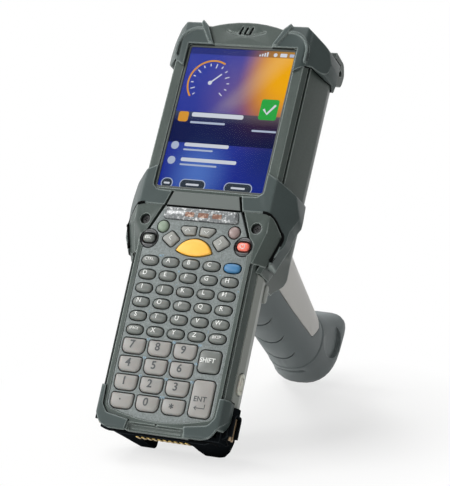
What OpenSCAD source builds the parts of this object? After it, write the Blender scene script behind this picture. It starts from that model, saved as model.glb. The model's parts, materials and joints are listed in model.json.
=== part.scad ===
/* [Body] */
// Length of the display head, from the bend to the nose
head_l = 102; // [92:1:125]
// Length of the keypad half, from the tail to the bend
grip_l = 107; // [100:1:130]
// Width of the display head over its side panels
head_w = 82; // [76:1:100]
// Width over the two rubber shoulders
shoulder_w = 91; // [88:1:112]
// Width of the keypad half
grip_w = 68; // [62:1:80]
// Depth of the display head, front face to back
head_d = 43; // [38:1:54]
// Depth of the keypad half, front face to back
grip_d = 37; // [34:1:46]
// Angle by which the keypad half droops from the display's plane
droop = 3; // [0:0.5:6]
// Wall thickness of the housings
wall = 2.4; // [1.8:0.1:3]
// Thickness of the front mouldings
front_t = 4.2; // [3.8:0.1:5.2]

/* [Display] */
// Width of the side rails beside the display
rail_w = 6.6; // [5:0.1:10]
// Distance from the nose to the display opening
forehead = 9.6; // [9:0.1:16]
// Distance from the bend to the display opening
chin = 14.6; // [13:0.1:20]
// Thickness of the touch panel
touch_t = 1.2; // [0.8:0.1:2]
// Thickness of the display module
lcd_t = 4; // [3:0.5:6]

/* [Keypad] */
// Height of the zone above the letter keys
nav_zone = 19.6; // [19:0.1:26]
// Height of the zone below the number keys
tail_zone = 9.3; // [8:0.1:14]
// Share of a letter key's row pitch that a number key's row takes
digit_ratio = 1.29; // [1.15:0.01:1.4]
// Gap between neighbouring letter keys
key_gap = 2; // [1.4:0.1:3]
// Travel of every key
key_travel = 1; // [0.6:0.1:1.2]
// Height of the key tops above the keypad plate
key_proud = 1.3; // [0.8:0.1:2]
// Clearance round a key in the keypad plate
key_clear = 0.3; // [0.2:0.05:0.5]
// Thickness of the keypad plate
plate_t = 2; // [1.5:0.1:2.6]

/* [Handle] */
// Length of the handle, from the head's back to its foot
handle_l = 120; // [100:1:144]
// Width of the handle at the grip
handle_w = 34; // [30:1:40]
// Depth of the handle at the grip, front to palm
handle_b = 41; // [36:1:50]
// Distance by which the foot lies behind the handle's root
handle_rake = 27; // [15:1:32]
// Thickness of the rubber on the palm side
grip_rubber = 2.5; // [1.5:0.1:3.5]
// Width of the handle's foot
foot_w = 37; // [34:1:45]
// Length of the handle's foot
foot_l = 43; // [38:1:52]
// Swing of the trigger
trigger_swing = 9; // [5:1:12]
// Radius of the trigger's pin
trigger_pin_r = 1.5; // [1:0.1:2]

/* [Battery] */
// Length of the battery pack
battery_l = 54; // [45:1:58]
// Width of the battery pack
battery_w = 46; // [40:1:50]
// Thickness of the battery pack
battery_t = 15; // [12:0.5:17]
// Travel of the two battery release buttons
release_travel = 1.6; // [1:0.1:2]

/* [Hidden] */
$fn = 32;

// The device frame: X across, Y from the tail (0) to the nose, Z out of the display.
kink_y = grip_l;
nose_y = kink_y + head_l;
head_r = head_w / 2;
grip_r = grip_w / 2;
shoulder_r = shoulder_w / 2;
// The head and the keypad half meet on this line
split_y = kink_y - 23;
// How far the rubber and the name bar are let into the front mouldings
bite = 0.9;
// Sliding clearance between pieces of different bodies
slide_clear = 0.3;
// Clearance between pieces that lie on each other in one body
seat = 0.05;

// ---- drawing helpers ----
function unit(v) = v / norm(v);
// An arc about c in n steps
function arc(c, r, a0, a1, n = 6) =
    [for (i = [0:n]) c + r * [cos(a0 + (a1 - a0) * i / n), sin(a0 + (a1 - a0) * i / n)]];
// One rounded corner: b is [x, y, radius]
function corner(a, b, c, n) =
    (b[2] == undef || b[2] == 0) ? [[b.x, b.y]] :
    let (
        u = unit([a.x - b.x, a.y - b.y]),
        v = unit([c.x - b.x, c.y - b.y]),
        half = acos(max(-1, min(1, u * v))) / 2,
        m = [b.x, b.y] + unit(u + v) * b[2] / sin(half),
        s = [b.x, b.y] + u * b[2] / tan(half) - m,
        e = [b.x, b.y] + v * b[2] / tan(half) - m,
        a0 = atan2(s.y, s.x),
        d = atan2(e.y, e.x) - a0
    )
    arc(m, b[2], a0, a0 + (d > 180 ? d - 360 : d < -180 ? d + 360 : d), n);
// A polygon with its corners [x, y, radius] rounded
function rounded(p, n = 4) =
    let (k = len(p))
    [for (i = [0:k - 1]) each corner(p[(i + k - 1) % k], p[i], p[(i + 1) % k], n)];
// A right-hand half outline joined to its mirror image
function both_sides(p) =
    concat(p, [for (i = [len(p) - 1:-1:0])
        p[i][2] == undef ? [-p[i].x, p[i].y] : [-p[i].x, p[i].y, p[i][2]]]);
// A rectangle about c, as corners with one radius
function slab(c, w, l, r) =
    rounded([
        [c.x - w / 2, c.y - l / 2, r], [c.x + w / 2, c.y - l / 2, r],
        [c.x + w / 2, c.y + l / 2, r], [c.x - w / 2, c.y + l / 2, r]
    ]);
// Extrudes an outline seen from the front, from depth z0 to z1
module plan(p, z0, z1) translate([0, 0, z0]) linear_extrude(z1 - z0) polygon(p);
// Extrudes a cross-section [x, z] from y0 to y1
module section(p, y0, y1)
    translate([0, y1, 0]) rotate([90, 0, 0]) linear_extrude(y1 - y0) polygon(p);
// Extrudes a side profile [y, z] from x0 to x1
module profile(p, x0, x1)
    translate([x0, 0, 0]) rotate([90, 0, 90]) linear_extrude(x1 - x0) polygon(p);
// Joins rings of points, given from the lowest up, into one solid
module loft(rings) {
    n = len(rings[0]);
    top = (len(rings) - 1) * n;
    polyhedron(
        points = [for (r = rings) each r],
        faces = concat(
            [[for (i = [0:n - 1]) i]],
            [for (k = [0:len(rings) - 2], i = [0:n - 1])
                [k * n + i, (k + 1) * n + i, (k + 1) * n + (i + 1) % n, k * n + (i + 1) % n]],
            [[for (i = [n - 1:-1:0]) top + i]]
        )
    );
}

// ---- the stance on the table ----
// A point [y, z] of the keypad half's own frame, in the device frame
function drooped(p) = [
    kink_y + (p.x - kink_y) * cos(droop) - p.y * sin(droop),
    (p.x - kink_y) * sin(droop) + p.y * cos(droop)
];
hook_r = 3;
// Centre of the rounded hook tips, in the keypad half's frame
hook_c = [hook_r - 1.6, -(grip_d - 5.5)];
// The foot's heel edge and its tilt
foot_tilt = 10;
heel_y = kink_y - 32;
heel_z = -(head_d + handle_l);
hook_at = drooped(hook_c);
reach = [hook_at.x - heel_y, hook_at.y - heel_z];
lean = atan2(reach.y, reach.x) - acos(hook_r / norm(reach));
floor_z = heel_y * cos(lean) + heel_z * sin(lean);
// Front-most and rear-most points, which centre the object over its origin
front_most = drooped([2, 1.2]);
toe = [heel_y + foot_l * cos(foot_tilt), heel_z - foot_l * sin(foot_tilt)];
mid = (
    front_most.x * sin(lean) - front_most.y * cos(lean)
    + toe.x * sin(lean) - toe.y * cos(lean)
) / 2;

// Puts a piece drawn in the device frame on the table
module standing()
    translate([0, -mid, -floor_z]) rotate([90 - lean, 0, 0]) children();
// Puts a piece drawn in the keypad half's frame on the device
module hung() translate([0, kink_y, 0]) rotate([droop, 0, 0]) translate([0, -kink_y, 0]) children();
// Draws its children on the right and mirrored on the left
module pair() {
    children();
    mirror([1, 0, 0]) children();
}

// ---- head envelope ----
groove_z = -3.6;
panel_z = -21;
// Cross-section of the head behind the front moulding, inset by t
function head_section(t, top = -front_t) = rounded(both_sides([
    [head_r - 4 - t, top], [head_r - t, panel_z, 1], [head_r - 0.8 - t, panel_z - 4, 2],
    [head_r - 7 - t, -head_d + 3 + t, 7], [head_r - 20 - t, -head_d + t, 8]
]));
// Outline of the head seen from the front, inset by t
function head_outline(t, low = split_y) = rounded(both_sides([
    [grip_r + 0.6 - t, low], [head_r - t, split_y + 16, 8],
    [head_r - t, nose_y - 17, 5], [26 - t / 2, nose_y + 1 - t, 4]
]));
// Side profile of the head, inset by t
function head_profile(t, low = split_y, top = 3) = rounded([
    [low, top], [nose_y + 0.5 - t, top], [nose_y + 0.5 - t, -8, 2], [nose_y + 2.6 - t, -22, 6],
    [nose_y + 2 - t, -head_d + 9 + t, 4], [nose_y - 7 - t, -head_d + t, 6],
    [split_y + 18, -head_d + t, 12], [low, -grip_d - 1.6 + t]
]);
// The flanks' lower ends are rounded off under the shoulders
heel_cut_z = -17;
function heel_outline(t) = rounded(both_sides([
    [grip_r - 6 - t, split_y - 2], [grip_r - 6 - t, split_y + 1, 2], [head_r + 1 - t, split_y + 15, 9],
    [head_r + 6, nose_y + 12]
]));
module head_form(t, low = split_y, top = -front_t) difference() {
    intersection() {
        section(head_section(t, top), low, nose_y + 10);
        plan(head_outline(t, low), -head_d - 5, 5);
        profile(head_profile(t, low), -head_r - 5, head_r + 5);
    }
    difference() {
        translate([-60, split_y - 5, -80]) cube([120, 24, 80 + heel_cut_z + t]);
        plan(heel_outline(t), -90, 0);
    }
}

// ---- display opening ----
window_r = head_r - rail_w - 4.8;
window_y0 = kink_y + chin;
window_y1 = nose_y - forehead;
window_c = [0, (window_y0 + window_y1) / 2];
window_l = window_y1 - window_y0;
panel_lip = 1;
panel_top = -1.55;
rail_r = head_r - 6.4;
name_y = [kink_y + 5.8, kink_y + 12.8];
name_r = [19.6, 17.4];
function name_outline() = both_sides([[name_r[0], name_y[0]], [name_r[1], name_y[1]]]);

// ---- bumper outlines, right-hand side ----
cap_r = [15.8, 20.6];
cap_crown = 3.3;
crown_r = (cap_r[1] * cap_r[1] + cap_crown * cap_crown) / (2 * cap_crown);
crown_a = asin(cap_r[1] / crown_r);
function cap_outline() = concat(
    [[-cap_r[0], window_y1 + 0.1], [cap_r[0], window_y1 + 0.1]],
    arc([0, nose_y + cap_crown - crown_r], crown_r, 90 - crown_a, 90 + crown_a, 8)
);
function top_bumper_outline() = rounded([
    [cap_r[0], window_y1], [cap_r[1], nose_y, 2], [cap_r[1] + 4.5, nose_y + 4.3, 3],
    [cap_r[1] + 11.6, nose_y + 2.4, 6], [head_r + 1.2, nose_y - 5, 7],
    [shoulder_r - 1.6, nose_y - 12, 4], [shoulder_r - 2.2, nose_y - 20, 3],
    [rail_r + 2.5, nose_y - 17.5], [window_r, nose_y - 22], [window_r, window_y1]
]);
function bumper_section() = rounded(both_sides([
    [rail_r - 1.5, 1.1, 1.5], [rail_r + 1.8, -1.5, 2], [shoulder_r - 1.2, -12, 4],
    [shoulder_r - 1.2, -22, 4], [head_r - 2, -32, 3]
]));
wing_y = kink_y + 5.6;
// The channel that sets the wings off from the name bar and the keypad plate
channel_w = 1.4;
channel_z = -3;
// How far it runs in under the shoulder bumpers
channel_bite = 0.3;
// How far the flanks have come out at share k of the step from the grip's width to the head's
function flank_x(k) = grip_r + (head_r - grip_r) * k;
function shoulder_outline() = rounded([
    [name_r[0] + channel_w, wing_y], [name_r[1] + channel_w, name_y[1] + 0.2],
    [window_r - 2, window_y0 - 1.2, 3], [window_r, window_y0 + 3], [window_r, kink_y + 26],
    [rail_r + 2, kink_y + 22.5], [head_r + 1.8, kink_y + 19, 3], [shoulder_r, kink_y + 8.5, 5],
    [shoulder_r - 2.2, kink_y + 1, 6], [flank_x(0.9), kink_y - 9], [flank_x(1.04), kink_y - 4, 5],
    [head_r - 5, wing_y, 7]
]);
function shoulder_section() = rounded(both_sides([
    [rail_r + 0.2, 0.7, 1.5], [rail_r + 2.8, -2.2, 2], [shoulder_r, -12, 5],
    [shoulder_r, -17, 3], [head_r + 0.2, -25, 2], [10, -25]
]));
// The space inside the flared flanks, which narrow towards the grip; g grows it
flare_l = 26;
wing_rim_z = -6.4;
flare = atan((head_r - grip_r) / flare_l);
module flank(g) intersection_for (s = [0, 1]) mirror([s, 0, 0])
    translate([rail_r + 0.3 + g, kink_y - 6, 0]) rotate(-flare)
        section([[-90, 5], [-0.6, 5], [0, 0], [5.6, wing_rim_z], [9.4, -21], [9.4, -60], [-90, -60]], -60, 60);
module bumper_core() {
    head_form(0, split_y - 5);
    section(both_sides([
        [rail_r + 1, -front_t - 0.02], [rail_r + 1.6, groove_z + 0.6],
        [rail_r + 1.6 * bite / (-groove_z - 0.6), -bite]
    ]), 0, nose_y + 0.5);
}

// ---- head pieces ----
module display_bezel() standing() color("DarkSlateGray") difference() {
    intersection() {
        section(both_sides([
            [rail_r, 0], [rail_r + 1.6, groove_z + 0.6], [rail_r + 1, -front_t]
        ]), wing_y, nose_y + 0.5);
        plan(head_outline(0), -front_t - 1, 1);
    }
    plan(slab(window_c, 2 * window_r, window_l, 2), -front_t - 1, 1);
    plan(slab(window_c, 2 * (window_r + panel_lip), window_l + 2 * panel_lip, 2), -10, panel_top);
    pair() plan(top_bumper_outline(), -bite, 3);
    pair() plan(shoulder_outline(), -bite, 3);
    plan(name_outline(), -bite, 3);
    pair() plan([
        [name_r[0], wing_y - 1], [name_r[0] + channel_w + channel_bite, wing_y - 1],
        [name_r[1] + channel_w + channel_bite, name_y[1] + 0.5], [name_r[1], name_y[1] + 0.2]
    ], channel_z, 3);
    plan(cap_outline(), -10, 3);
}

scan_w = 36;
scan_h = 15;
scan_z = -26;
lug_y = nose_y - 7.5;
lug_z = -31.5;
lug_hole_r = 1.7;
lug_t = 3.5;
lug_x0 = head_r - 3.6;
lug_scoop_r = 4;
function lug_outline() = rounded([
    [lug_y - 9, -22], [lug_y + 7, -22], [lug_y + 6, lug_z - 2, 4], [lug_y + 1, lug_z - 5.5, 4],
    [lug_y - 6, lug_z - 4.5, 4]
]);
// The main board and the posts inside the head that carry it
board_t = 1.6;
board_z = -11;
board_r = head_r - 16;
board_y0 = split_y + 6;
board_y1 = nose_y - 20;
post_r = 3;
post_at = [[board_r - 4, split_y + 14], [board_r - 4, nose_y - 44]];
module head_housing() standing() color("DarkSlateGray") difference() {
    union() {
        difference() {
            head_form(0);
            head_form(wall, split_y - 1, -front_t + 1);
        }
        // the strap eye, and the wall behind the scoop that lets a cord out of it
        profile(lug_outline(), lug_x0, lug_x0 + lug_t);
        intersection() {
            head_form(0);
            translate([lug_x0, lug_y, lug_z]) rotate([0, -90, 0]) cylinder(r = lug_scoop_r + 2, h = 5.4);
        }
        intersection() {
            head_form(0);
            pair() {
                for (p = post_at) translate([p.x, p.y, -head_d])
                    cylinder(r = post_r, h = head_d + board_z - board_t);
                translate([screw_x, screw_y, -head_d]) cylinder(r = post_r, h = head_d);
            }
        }
    }
    hung() keypad_bezel_form();
    // nothing stands above the wings' sloping sides
    hung() difference() {
        translate([-60, split_y - 10, wing_rim_z]) cube([120, wing_y - split_y + 9.8, 20]);
        flank(0);
    }
    hung() pair() translate([screw_x, screw_y, -screw_sink - screw_l]) cylinder(r = screw_r, h = 20);
    translate([0, nose_y, scan_z]) cube([scan_w, 20, scan_h], center = true);
    plan(cap_outline(), -cap_d, 3);
    translate([lug_x0, lug_y, lug_z]) rotate([0, -90, 0]) cylinder(r = lug_scoop_r, h = 3.4);
    translate([lug_x0 - 1, lug_y, lug_z]) rotate([0, 90, 0]) cylinder(r = lug_hole_r, h = lug_t + 2);
    pair() translate([handle_screw_x, handle_screw_y, -head_d]) cylinder(r = screw_r, h = 12, center = true);
}

cap_d = 11;
cap_top = 0.4;
slot_w = 1.1;
slot_l = 4.4;
// The shallow curved groove under the speaker's slots
smile_r = 26;
smile_a = 25;
smile_w = 0.8;
smile_d = 0.35;
module nose_cap() standing() color("DarkSlateGray") difference() {
    plan(cap_outline(), -cap_d, cap_top);
    plan(both_sides([[cap_r[0] - wall, 0], [cap_r[0] - wall, nose_y - 1]]), -cap_d - 1, -wall);
    plan(slab(window_c, 2 * (window_r + panel_lip), window_l + 2 * panel_lip, 2), -cap_d - 1, panel_top);
    for (i = [-1:1]) translate([i * 2.7, nose_y - 1.2, 0]) rotate(-18)
        plan(slab([0, 0], slot_w, slot_l, 0.5), -4, 2);
    translate([0, nose_y - 4.4 + smile_r, 0]) plan(concat(
        arc([0, 0], smile_r, 270 - smile_a, 270 + smile_a, 14),
        arc([0, smile_w / 2], smile_r - smile_w, 270 + smile_a, 270 - smile_a, 14)
    ), cap_top - smile_d, cap_top + 1);
}

// The crest beside the nose cap and the rib round the corner, which take the knocks
rib_w = 1.1;
function crest_outline() = rounded([
    [cap_r[0] - 1, window_y1 + 0.8], [cap_r[1] - 0.6, nose_y + 0.4], [cap_r[1] + 2.6, nose_y + 3.2, 1.4],
    [cap_r[1] + 4.6, nose_y + 2.6, 1.4], [cap_r[1] + 2.4, nose_y - 1.6, 2], [cap_r[0] + 2.6, window_y1 + 0.8]
]);
function rib_outline() = let (x = rail_r + 0.9, y = nose_y - 0.8) rounded([
    [cap_r[1] + 2, y], [x, y, 10.5], [x, nose_y - 16.5], [x - rib_w, nose_y - 16.5],
    [x - rib_w, y - rib_w, 10.5 - rib_w], [cap_r[1] + 2, y - rib_w]
], 8);
module top_bumper() difference() {
    union() {
        intersection() {
            plan(crest_outline(), -1.5, 1.9);
            plan(top_bumper_outline(), -2, 3);
        }
        plan(rib_outline(), -1.5, 1.7);
        top_bumper_form();
    }
    bumper_core();
    plan(cap_outline(), -cap_d, 3);
    profile(lug_outline(), lug_x0, lug_x0 + lug_t);
}
module top_bumper_form() {
    intersection() {
        plan(top_bumper_outline(), -33, 2);
        section(bumper_section(), nose_y - 30, nose_y + 10);
        profile(rounded([
            [nose_y - 30, 2], [nose_y + 1.5, 2, 2], [nose_y + 5, -6, 3], [nose_y + 5, -24, 4],
            [nose_y - 4, -33, 4], [nose_y - 30, -33]
        ]), 0, 60);
    }
}
module top_bumper_right() standing() color([0.2, 0.23, 0.23]) top_bumper();
module top_bumper_left() standing() color([0.2, 0.23, 0.23]) mirror([1, 0, 0]) top_bumper();

// The tail of the bumper runs down the flank to the bend
function tail_outline() = rounded([
    [head_r - 6, kink_y + 8], [head_r + 2.6, kink_y + 8], [head_r + 1.7, split_y + 16, 10],
    [grip_r + 2, split_y + 0.8, 1.5], [grip_r - 2, split_y + 0.8]
]);
tail_top = wing_rim_z - 0.1;
tail_low = -16.5;
module shoulder_bumper() difference() {
    intersection() {
        union() {
            intersection() {
                plan(shoulder_outline(), -26, 2);
                flank(0.1);
            }
            plan(tail_outline(), tail_low, tail_top);
        }
        section(shoulder_section(), split_y - 5, kink_y + 40);
        profile(rounded([
            [split_y - 2, 3], [split_y - 2, tail_low - 0.6], [split_y + 12, tail_low + 2, 20],
            [kink_y + 5, tail_low - 1.5, 5], [kink_y + 12, -26], [kink_y + 40, -26], [kink_y + 40, 3]
        ]), 0, 60);
    }
    bumper_core();
    hung() keypad_bezel_form();
    hung() lower_form(0, split_y + 3);
    plan(slab(window_c, 2 * window_r, window_l, 2), panel_top, 3);
}
module shoulder_bumper_right() standing() color([0.2, 0.23, 0.23]) shoulder_bumper();
module shoulder_bumper_left() standing() color([0.2, 0.23, 0.23]) mirror([1, 0, 0]) shoulder_bumper();

gasket_w = 1.3;
module display_gasket() standing() color([0.08, 0.09, 0.1]) difference() {
    plan(slab(window_c, 2 * window_r, window_l, 2), panel_top, -0.5);
    plan(slab(window_c, 2 * (window_r - gasket_w), window_l - 2 * gasket_w, 1), panel_top - 1, 1);
}
module touch_panel() standing() color([0.25, 0.3, 0.4, 0.6])
    plan(slab(window_c, 2 * (window_r + panel_lip) - 0.6, window_l + 2 * panel_lip - 0.6, 1),
         panel_top - touch_t, panel_top);
module lcd_module() standing() color("RoyalBlue") difference() {
    plan(slab(window_c, 2 * window_r, window_l, 1), panel_top - touch_t - lcd_t, panel_top - touch_t);
    plan(slab([window_c.x, window_y0 - 1], 14, 8, 1), -10, panel_top - touch_t - 2);
}
module name_bar() standing() color([0.3, 0.33, 0.33]) plan(name_outline(), -bite, 0.6);

module main_board() standing() color("DarkGreen") {
    plan(slab([0, (board_y0 + board_y1) / 2], 2 * board_r, board_y1 - board_y0, 2), board_z - board_t, board_z);
    // the shielded radio, the processor and the memory
    plan(slab([0, window_c.y + 10], 24, 24, 0.5), board_z - board_t - 2.2, board_z - board_t);
    plan(slab([-11, window_c.y - 20], 14, 14, 0.5), board_z - board_t - 1.6, board_z - board_t);
    plan(slab([9, window_c.y - 22], 12, 10, 0.5), board_z - board_t - 3, board_z - board_t);
    // spacers under the display module
    pair() for (y = [window_y0 + 8, window_y1 - 12])
        plan(slab([board_r - 4, y], 5, 5, 1), board_z, panel_top - touch_t - lcd_t);
}
speaker_r = 3.5;
speaker_y = nose_y - 1.3 - speaker_r;
module speaker() standing() color("DimGray") translate([0, speaker_y, -wall]) {
    translate([0, 0, -4.6]) cylinder(r = speaker_r - 0.8, h = 2.4);
    translate([0, 0, -2.2]) cylinder(r = speaker_r, h = 2.2);
}
engine_l = 22;
engine_y1 = nose_y - wall - 3;
module scan_engine() standing() color("SlateGray") {
    plan(slab([0, engine_y1 - engine_l / 2], scan_w - 4, engine_l, 1),
         scan_z - scan_h / 2 + 1, scan_z + scan_h / 2 - 1);
    // the foot that joins it to the main board
    plan(slab([0, board_y1 - 3.4], 10, 6, 1), scan_z + scan_h / 2 - 1, board_z - board_t);
    translate([6, engine_y1, scan_z]) rotate([-90, 0, 0]) cylinder(r = 4, h = 2.4);
    translate([-8, engine_y1, scan_z]) rotate([-90, 0, 0]) cylinder(r = 2, h = 1.6);
}
module scan_window() standing() color([0.35, 0.08, 0.1, 0.6]) intersection() {
    translate([0, nose_y - 0.2, scan_z]) cube([scan_w, 3, scan_h], center = true);
    head_form(0);
}

// ---- keypad half ----
plate_r = grip_r - 6;
plate_top_r = name_r[0] + 0.5;
rim_r = plate_r + 1.3;
boss_x = plate_r - 2.8;
boss_y = kink_y - 12;
boss_r = 4.9;
tail_sag = 3.6;
plate_y1 = wing_y - 0.4;
// The plate narrows from its neck to its top edge
neck_r = plate_r - 1.6;
neck_y = boss_y + 4;
function plate_edge(y) = neck_r + (plate_top_r - neck_r) * (y - neck_y) / (plate_y1 - neck_y);
screw_y = kink_y - 2.3;
screw_x = plate_edge(screw_y) + 6;
screw_r = 1.25;
function plate_outline(t = 0) = rounded(concat(
    [
        [plate_r - t, tail_zone + 1 + t, 3], [plate_r - t, boss_y - 6], [neck_r - t, neck_y],
        [plate_top_r - t, plate_y1 - t], [-plate_top_r + t, plate_y1 - t],
        [-neck_r + t, neck_y], [-plate_r + t, boss_y - 6], [-plate_r + t, tail_zone + 1 + t, 3]
    ],
    arc([0, tail_zone - tail_sag + 80 + t], 80, 270 - 14, 270 + 14, 6)
));
module plate_form(t, z0, z1) {
    plan(plate_outline(t), z0, z1);
    pair() translate([boss_x, boss_y, z0]) cylinder(r = boss_r - t, h = z1 - z0);
}
// Outline of the wings beside the navigation keys
function wing_outline() = rounded(both_sides([
    [grip_r - 2, split_y + 3.4], [flank_x(0.3), split_y + 3.4, 1.5], [flank_x(0.72), kink_y - 13, 5],
    [flank_x(1.04), kink_y - 4, 5], [head_r - 5, wing_y, 7]
]));
seam_z = -5;
wing_z = -9;
module keypad_bezel_form() {
    intersection() {
        section(both_sides([
            [rim_r + 1, 0.3], [rim_r + 1.2, -1.2], [rim_r + 1.9, -1.2], [rim_r + 2.4, -0.2],
            [grip_r - 0.7, seam_z]
        ]), 0, kink_y - 10);
        plan(rounded(both_sides([[grip_r - 14, 0.3, 4], [grip_r + 1, 11, 8], [grip_r + 1, kink_y]])), -9, 2);
    }
    intersection() {
        plan(wing_outline(), wing_z, 0);
        section(rounded(both_sides([
            [rail_r + 0.9, 0, 1], [head_r + 1, wing_rim_z], [head_r - 4, wing_rim_z], [head_r - 4, wing_z]
        ])), 0, nose_y);
        flank(0);
    }
}
rib_y = [1.6, 3.6];
mic_r = 1.1;
mic_y = tail_zone - tail_sag - mic_r - 0.1;
module keypad_bezel() standing() color("SlateGray") difference() {
    hung() difference() {
        keypad_bezel_form();
        plate_form(-0.02, -20, 2);
        plan(lens_outline(), -20, 2);
        // the dished tail between the two bottom bumpers
        profile(rounded([
            [-3, 2], [tail_zone - tail_sag - 1.4, 2], [tail_zone - tail_sag - 1.8, -1, 1],
            [1.2, -1.6, 1], [-3, -4]
        ]), -bump_x0, bump_x0);
        for (y = rib_y) profile([[y - 0.35, 0], [y + 0.35, 0], [y, -2.1]], -bump_x0 + 2, bump_x0 - 2);
        pair() plan(bottom_bumper_outline(), -30, 3);
        pair() translate([screw_x, screw_y, -12]) {
            cylinder(r = screw_r + 0.1, h = 20);
            translate([0, 0, 12 - screw_sink]) cylinder(r = screw_head_r + 0.5, h = 10);
        }
        translate([0, mic_y, -10]) cylinder(r = 0.5, h = 20);
        pair() plan([
            [neck_r - 1, neck_y], [neck_r + channel_w, neck_y],
            [plate_top_r + channel_w, plate_y1 + 1], [plate_top_r - 1, plate_y1 + 1]
        ], channel_z, 2);
    }
    // the head's own space above the keypad mouldings
    translate([-60, wing_y - seat, -60]) cube([120, 20, 80]);
}

function lens_outline() = rounded(both_sides([
    [plate_top_r + 0.1, kink_y - 1.3, 1.5], [plate_top_r - 1.2, kink_y + 4.6, 1.5]
]));
module led_lens() standing() hung() color([0.75, 0.7, 0.65, 0.6]) plan(lens_outline(), -3, 0.9);

// ---- the keys ----
// Every key is [x, y, width, height]; letters and digits share the plate's field
field_top = kink_y - nav_zone;
letter_rows = 6;
digit_rows = 4;
letter_pitch = (field_top - tail_zone) / (letter_rows + digit_rows * digit_ratio);
digit_pitch = letter_pitch * digit_ratio;
letter_step = (2 * plate_r - 1.2) / 5;
letter_w = letter_step - key_gap + 0.1;
letter_l = letter_pitch - key_gap;
digit_step = (2 * plate_r - 1.4) / 4;
digit_w = digit_step - key_gap + 0.1;
digit_l = digit_pitch - key_gap + 0.3;
function letter_at(col, row) = [(col - 2) * letter_step, field_top - (row + 0.5) * letter_pitch];
function digit_at(col, row) =
    [(col - 1.5) * digit_step, field_top - letter_rows * letter_pitch - (row + 0.5) * digit_pitch];
function letter_outline(c, g = 0) = slab(c, letter_w + 2 * g, letter_l + 2 * g, letter_l / 2 - 0.1 + g);
function digit_outline(c, g = 0) = let (w = digit_w / 2 + g, l = digit_l / 2 + g) rounded([
    [c.x - w, c.y + l, 1 + g], [c.x - w, c.y - l, 3 + g], [c.x + w, c.y - l, 3 + g], [c.x + w, c.y + l, 1 + g]
]);
shift_c = [digit_at(3, 0).x, (digit_at(3, 0).y + digit_at(3, 1).y) / 2 + 1.1];
enter_c = [digit_at(3, 0).x, (digit_at(3, 2).y + digit_at(3, 3).y) / 2 + 1.1];
function shift_outline(g = 0) = slab(shift_c, digit_w - 0.6 + 2 * g, digit_l + 3.6 + 2 * g, 2.2 + g);
function enter_outline(g = 0) =
    slab(enter_c, digit_w - 0.6 + 2 * g, digit_l + digit_pitch + 1.6 + 2 * g, 2.2 + g);
scan_c = [0, field_top + 2.2];
function scan_outline(g = 0) = let (half = 24 + 5 * g) concat(
    arc([0, scan_c.y - 3.2], 10.2 + g, 22, 158, 12),
    arc([0, scan_c.y + 20], 21.6 + g, 270 - half, 270 + half, 8)
);
function talk_outline(g = 0) = let (c = [-19, kink_y - 5.4]) arc(c, 2.9 + g, 0, 350, 20);
function end_outline(g = 0) = let (c = [19, kink_y - 5.4]) arc(c, 2.9 + g, 0, 350, 20);
function boss_key_outline(s, g = 0) = slab([s * boss_x, boss_y], 6.4 + 2 * g, 4.2 + 2 * g, 2 + g);
// The four navigation keys fan out over the scan key
function nav_side(s, g = 0) = rounded([
    [s * (8.6 - g), kink_y - 11.2, 1], [s * (12.6), kink_y - 15.6 - g, 1.2],
    [s * (18.6 + g), kink_y - 11.4, 1.2], [s * 13.4, kink_y - 7.2 + g, 1.2]
]);
function nav_top(s, g = 0) = rounded([
    [s * (1.1 - g), kink_y - 4.2 + g, 0.6], [s * (1.1 - g), kink_y - 8.4 - g, 0.6],
    [s * (6.4 + g), kink_y - 9 - g, 1.2], [s * (10.6 + g), kink_y - 4.6 + g, 1.2]
]);
// The flange under the plate keeps a key in
flange_t = 0.6;
flange_w = 0.4;
key_root = -plate_t - slide_clear - flange_t;
module key_hole(p) plan(p, -plate_t - 1, 3);
module keycap(p, flange, crown) {
    plan(flange, key_root, key_root + flange_t);
    plan(p, key_root, key_proud - 0.4);
    plan(crown, key_proud - 0.5, key_proud);
}
module keypad_plate() standing() hung() color("SlateGray") difference() {
    plate_form(0, -plate_t, 0);
    plan(lens_outline(), -20, 2);
    for (r = [0:letter_rows - 1], c = [0:4]) key_hole(letter_outline(letter_at(c, r), key_clear));
    for (r = [0:digit_rows - 1], c = [0:2]) key_hole(digit_outline(digit_at(c, r), key_clear));
    key_hole(shift_outline(key_clear));
    key_hole(enter_outline(key_clear));
    key_hole(scan_outline(key_clear));
    key_hole(talk_outline(key_clear));
    key_hole(end_outline(key_clear));
    for (s = [-1, 1]) {
        key_hole(boss_key_outline(s, key_clear));
        key_hole(nav_side(s, key_clear));
        key_hole(nav_top(s, key_clear));
        translate([s * boss_x, boss_y, -0.9]) cylinder(r = boss_r - 1, h = 2);
    }
}
mat_t = 1.2;
mat_z = key_root - key_travel - slide_clear;
// The rubber mat hangs from the plate by its raised rim
mat_rim = 0.4;
module key_mat() standing() hung() color("DimGray") difference() {
    plan(plate_outline(seat), mat_z - mat_t, -plate_t);
    plan(plate_outline(seat + mat_rim), mat_z, 0);
    pair() translate([boss_x, boss_y, mat_z]) cylinder(r = boss_r - 0.2, h = 5);
    plan(lens_outline(), mat_z, 0);
}

module letter_row(row, cols) standing() hung() color("Gray")
    for (c = cols) let (at = letter_at(c, row))
        keycap(letter_outline(at), letter_outline(at, flange_w), letter_outline(at, -0.7));
module digit_row(row) standing() hung() color("Gainsboro")
    for (c = [0:2]) let (at = digit_at(c, row))
        keycap(digit_outline(at), digit_outline(at, flange_w), digit_outline(at, -0.7));
module single_key(tint, p, flange, crown) standing() hung() color(tint) keycap(p, flange, crown);

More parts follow.
